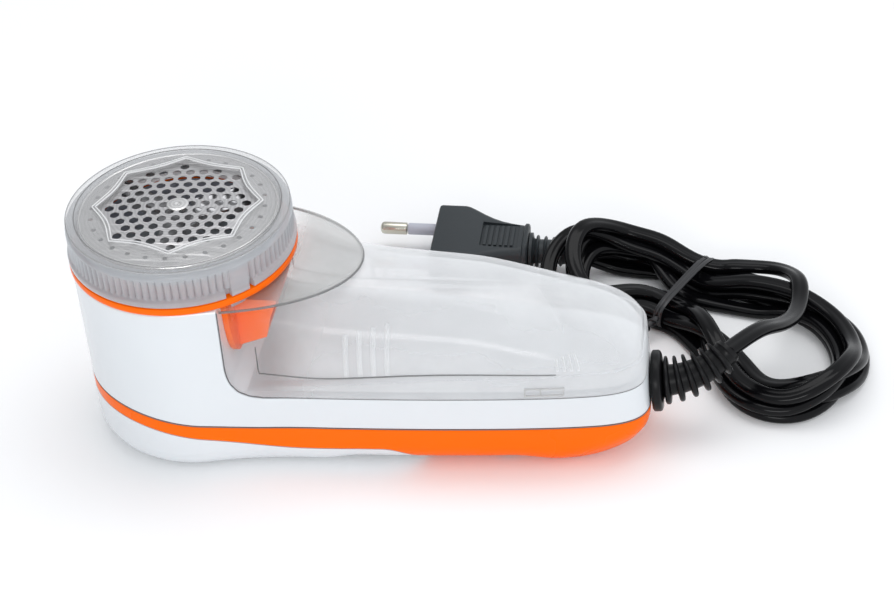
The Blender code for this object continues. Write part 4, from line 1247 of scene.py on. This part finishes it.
def make_guard():
    """Clear guard: rounded rim, sloping annulus and a raised ridge round the opening."""
    steps = 8 * 48
    rows = (  # how the radius is found, the radius or distance from the opening, height or rise
        ("rim", 0.0304, RING_TOP + GAP), ("rim", 0.0304, 0.0697), ("rim", 0.0302, 0.0701),
        ("rim", 0.0298, 0.0703), ("rim", 0.0293, GUARD_RIM), ("rim", 0.0287, GUARD_RIM),
        ("rim", 0.0283, 0.0703), ("rim", 0.028, 0.07015), ("edge", 0.0015, 0.0), ("edge", 0.0011, 0.00004),
        ("edge", 0.00095, 0.0003), ("edge", 0.00075, 0.00045), ("edge", 0.0004, 0.00045),
        ("edge", 0.00012, 0.0003), ("edge", 0.0, 0.0), ("edge", 0.0, -0.00045), ("rim", 0.0278, 0.0698),
        ("rim", 0.0284, RING_TOP + GAP))

    def round_points(kind, value, height):
        points = []
        for angle in (tau * i / steps for i in range(steps)):
            radius, z = value, height
            if kind == "edge":
                radius = guard_edge(angle, value)
                z = 0.0702 + (0.028 - radius) * 0.07 + height
            points.append(Vector((radius * cos(angle), radius * sin(angle), z)))
        return points

    guard = loft("clear_guard", [round_points(*row) for row in rows], "joined")
    settle(guard, CLEAR_GUARD, "guard", 45, "clear_plastic", "guard_cap")
    for name, row, finish, thick in (
            # Painted highlight: bright beads along both flanks of the ridge.
            ("ridge_outer", ("edge", 0.001, 0.00028), CLEAR_RIDGE_HIGHLIGHT, 0.00022),
            ("ridge_inner", ("edge", 0.00008, 0.00028), CLEAR_RIDGE_HIGHLIGHT, 0.00022),
            # Painted shade: dark lines on the guard's outer and inner rim.
            ("guard_rim_outer", ("rim", 0.03035, 0.0699), CLEAR_RIM_SHADE, 0.00013),
            ("guard_rim_inner", ("rim", 0.0281, 0.0702), CLEAR_EDGE_SHADE, 0.00013)):
        thread(name, round_points(*row), thick, finish, "guard", "clear_plastic", closed=True)


def make_back_panel():
    """Orange panel behind the lint chute, on the drum's flat back."""
    low, high = BOX_BACK + 0.00005, BOX_BACK + 0.0016
    outline = [(-0.0232, 0.0545), *bezier((-0.0226, 0.048), (-0.0216, 0.041), (-0.019, 0.0345),
                                          (-0.014, 0.0335), 12)]
    outline += [(-y, z) for y, z in reversed(outline)]
    panel = prism("back_panel", [outline], -high, -low)
    for vert in panel.data.vertices:
        y, z, x = vert.co
        vert.co = (-x, y, z)
    panel.data.flip_normals()
    settle(panel, ORANGE, "housing", 35, "orange_abs")


def make_chamber_painted_light():
    """Painted light: a pale grey sleeve in the cutter chamber, seen through the foil's holes, that stands in
    for the light coming in through the clear ring.
    """
    liner = lathe("chamber_liner", [
        (0.0245, 0.0505), (0.0249, 0.0505), (0.0249, 0.0624), (0.0245, 0.0626)], 96)
    settle(liner, SLEEVE, "housing", 35, "white_abs")


make_collar()
make_chamber_painted_light()
make_back_panel()
make_foil_ring()
make_foil()
make_guard()


# ---- materials on the CAD nodes that stay

FINISHES = {
    "blade_carrier": MID, "lint_chute": ORANGE, "switch_slider": ORANGE,
    "drive_hub": WHITE, "interlock_pin": WHITE, "dropper_resistor": WHITE,
    "motor_end_cap": BLACK, "interlock_switch": BLACK, "switch_body": BLACK,
    "smoothing_capacitor": BLACK, "bridge_rectifier": BLACK, "cord_clamp": BLACK,
    "upper_bearing": BRASS, "lower_bearing": BRASS,
    "magnet_near": MAGNET, "magnet_far": MAGNET, "brush_near": MAGNET, "brush_far": MAGNET,
    "armature_core": COPPER, "commutator": COPPER,
    "rectifier_board": BOARD, "inner_lead": CORD_SKIN,
    "blade_1": BLADE, "blade_2": BLADE, "blade_3": BLADE,
}
ROUNDED = {"lint_chute": 0.0004, "switch_slider": 0.0005, "blade_carrier": 0.0003, "drive_hub": 0.0002,
           "motor_can": 0.0002, "switch_body": 0.0003, "interlock_switch": 0.0003, "bridge_rectifier": 0.0003}


def finish_nodes():
    for name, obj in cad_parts.items():
        if obj.type != "MESH":
            continue
        finish = FINISHES.get(name, STEEL)
        if not obj.material_slots:
            obj.data.materials.append(finish)
        for place in obj.material_slots:
            place.material = finish
        if name in ROUNDED:
            edge = obj.modifiers.new("edges", "BEVEL")
            edge.width = ROUNDED[name]
            edge.segments = 3
            edge.limit_method = "ANGLE"
            edge.angle_limit = radians(40)


finish_nodes()


# ---- floor, lights and world

def make_stage():
    half = 1.6
    mesh = bpy.data.meshes.new("floor")
    mesh.from_pydata([(x * half, y * half, 0.0) for x, y in ((-1, -1), (1, -1), (1, 1), (-1, 1))], [],
                     [(0, 1, 2, 3)])
    floor = bpy.data.objects.new("floor", mesh)
    scene.collection.objects.link(floor)
    paint = Finish("floor_paint")
    paint.fix(Base_Color=(0.97, 0.97, 0.97, 1.0), Roughness=0.9, Specular_IOR_Level=0.1)
    mesh.materials.append(paint.made)

    world = bpy.data.worlds.new("studio")
    scene.world = world
    world.use_nodes = True
    nodes, links = world.node_tree.nodes, world.node_tree.links
    sky = nodes["Background"]
    sky.inputs["Color"].default_value = (0.94, 0.965, 1.0, 1.0)
    where = nodes.new("ShaderNodeTexCoord")
    split = nodes.new("ShaderNodeSeparateXYZ")
    shade = nodes.new("ShaderNodeMapRange")
    shade.interpolation_type = "SMOOTHSTEP"
    for key, value in (("From Min", -1.0), ("From Max", 0.5), ("To Min", 0.48), ("To Max", 1.0)):
        shade.inputs[key].default_value = value
    for source, socket in ((where.outputs["Generated"], split.inputs["Vector"]),
                           (split.outputs["X"], shade.inputs["Value"]),
                           (shade.outputs["Result"], sky.inputs["Strength"])):
        links.new(source, socket)

    aim = Vector((0.02, 0.0, 0.03))
    for name, at, size, watts in (("key", (0.04, -0.68, 0.33), (0.4, 0.15), 1.3),
                                  ("top", (0.05, 0.2, 0.85), (0.8, 0.4), 2.1)):
        lamp = bpy.data.lights.new(name, "AREA")
        lamp.shape = "RECTANGLE"
        lamp.size, lamp.size_y = size
        lamp.energy = watts
        light = bpy.data.objects.new(name, lamp)
        light.location = at
        light.rotation_euler = (Vector(at) - aim).to_track_quat("Z", "Y").to_euler()
        scene.collection.objects.link(light)


make_stage()
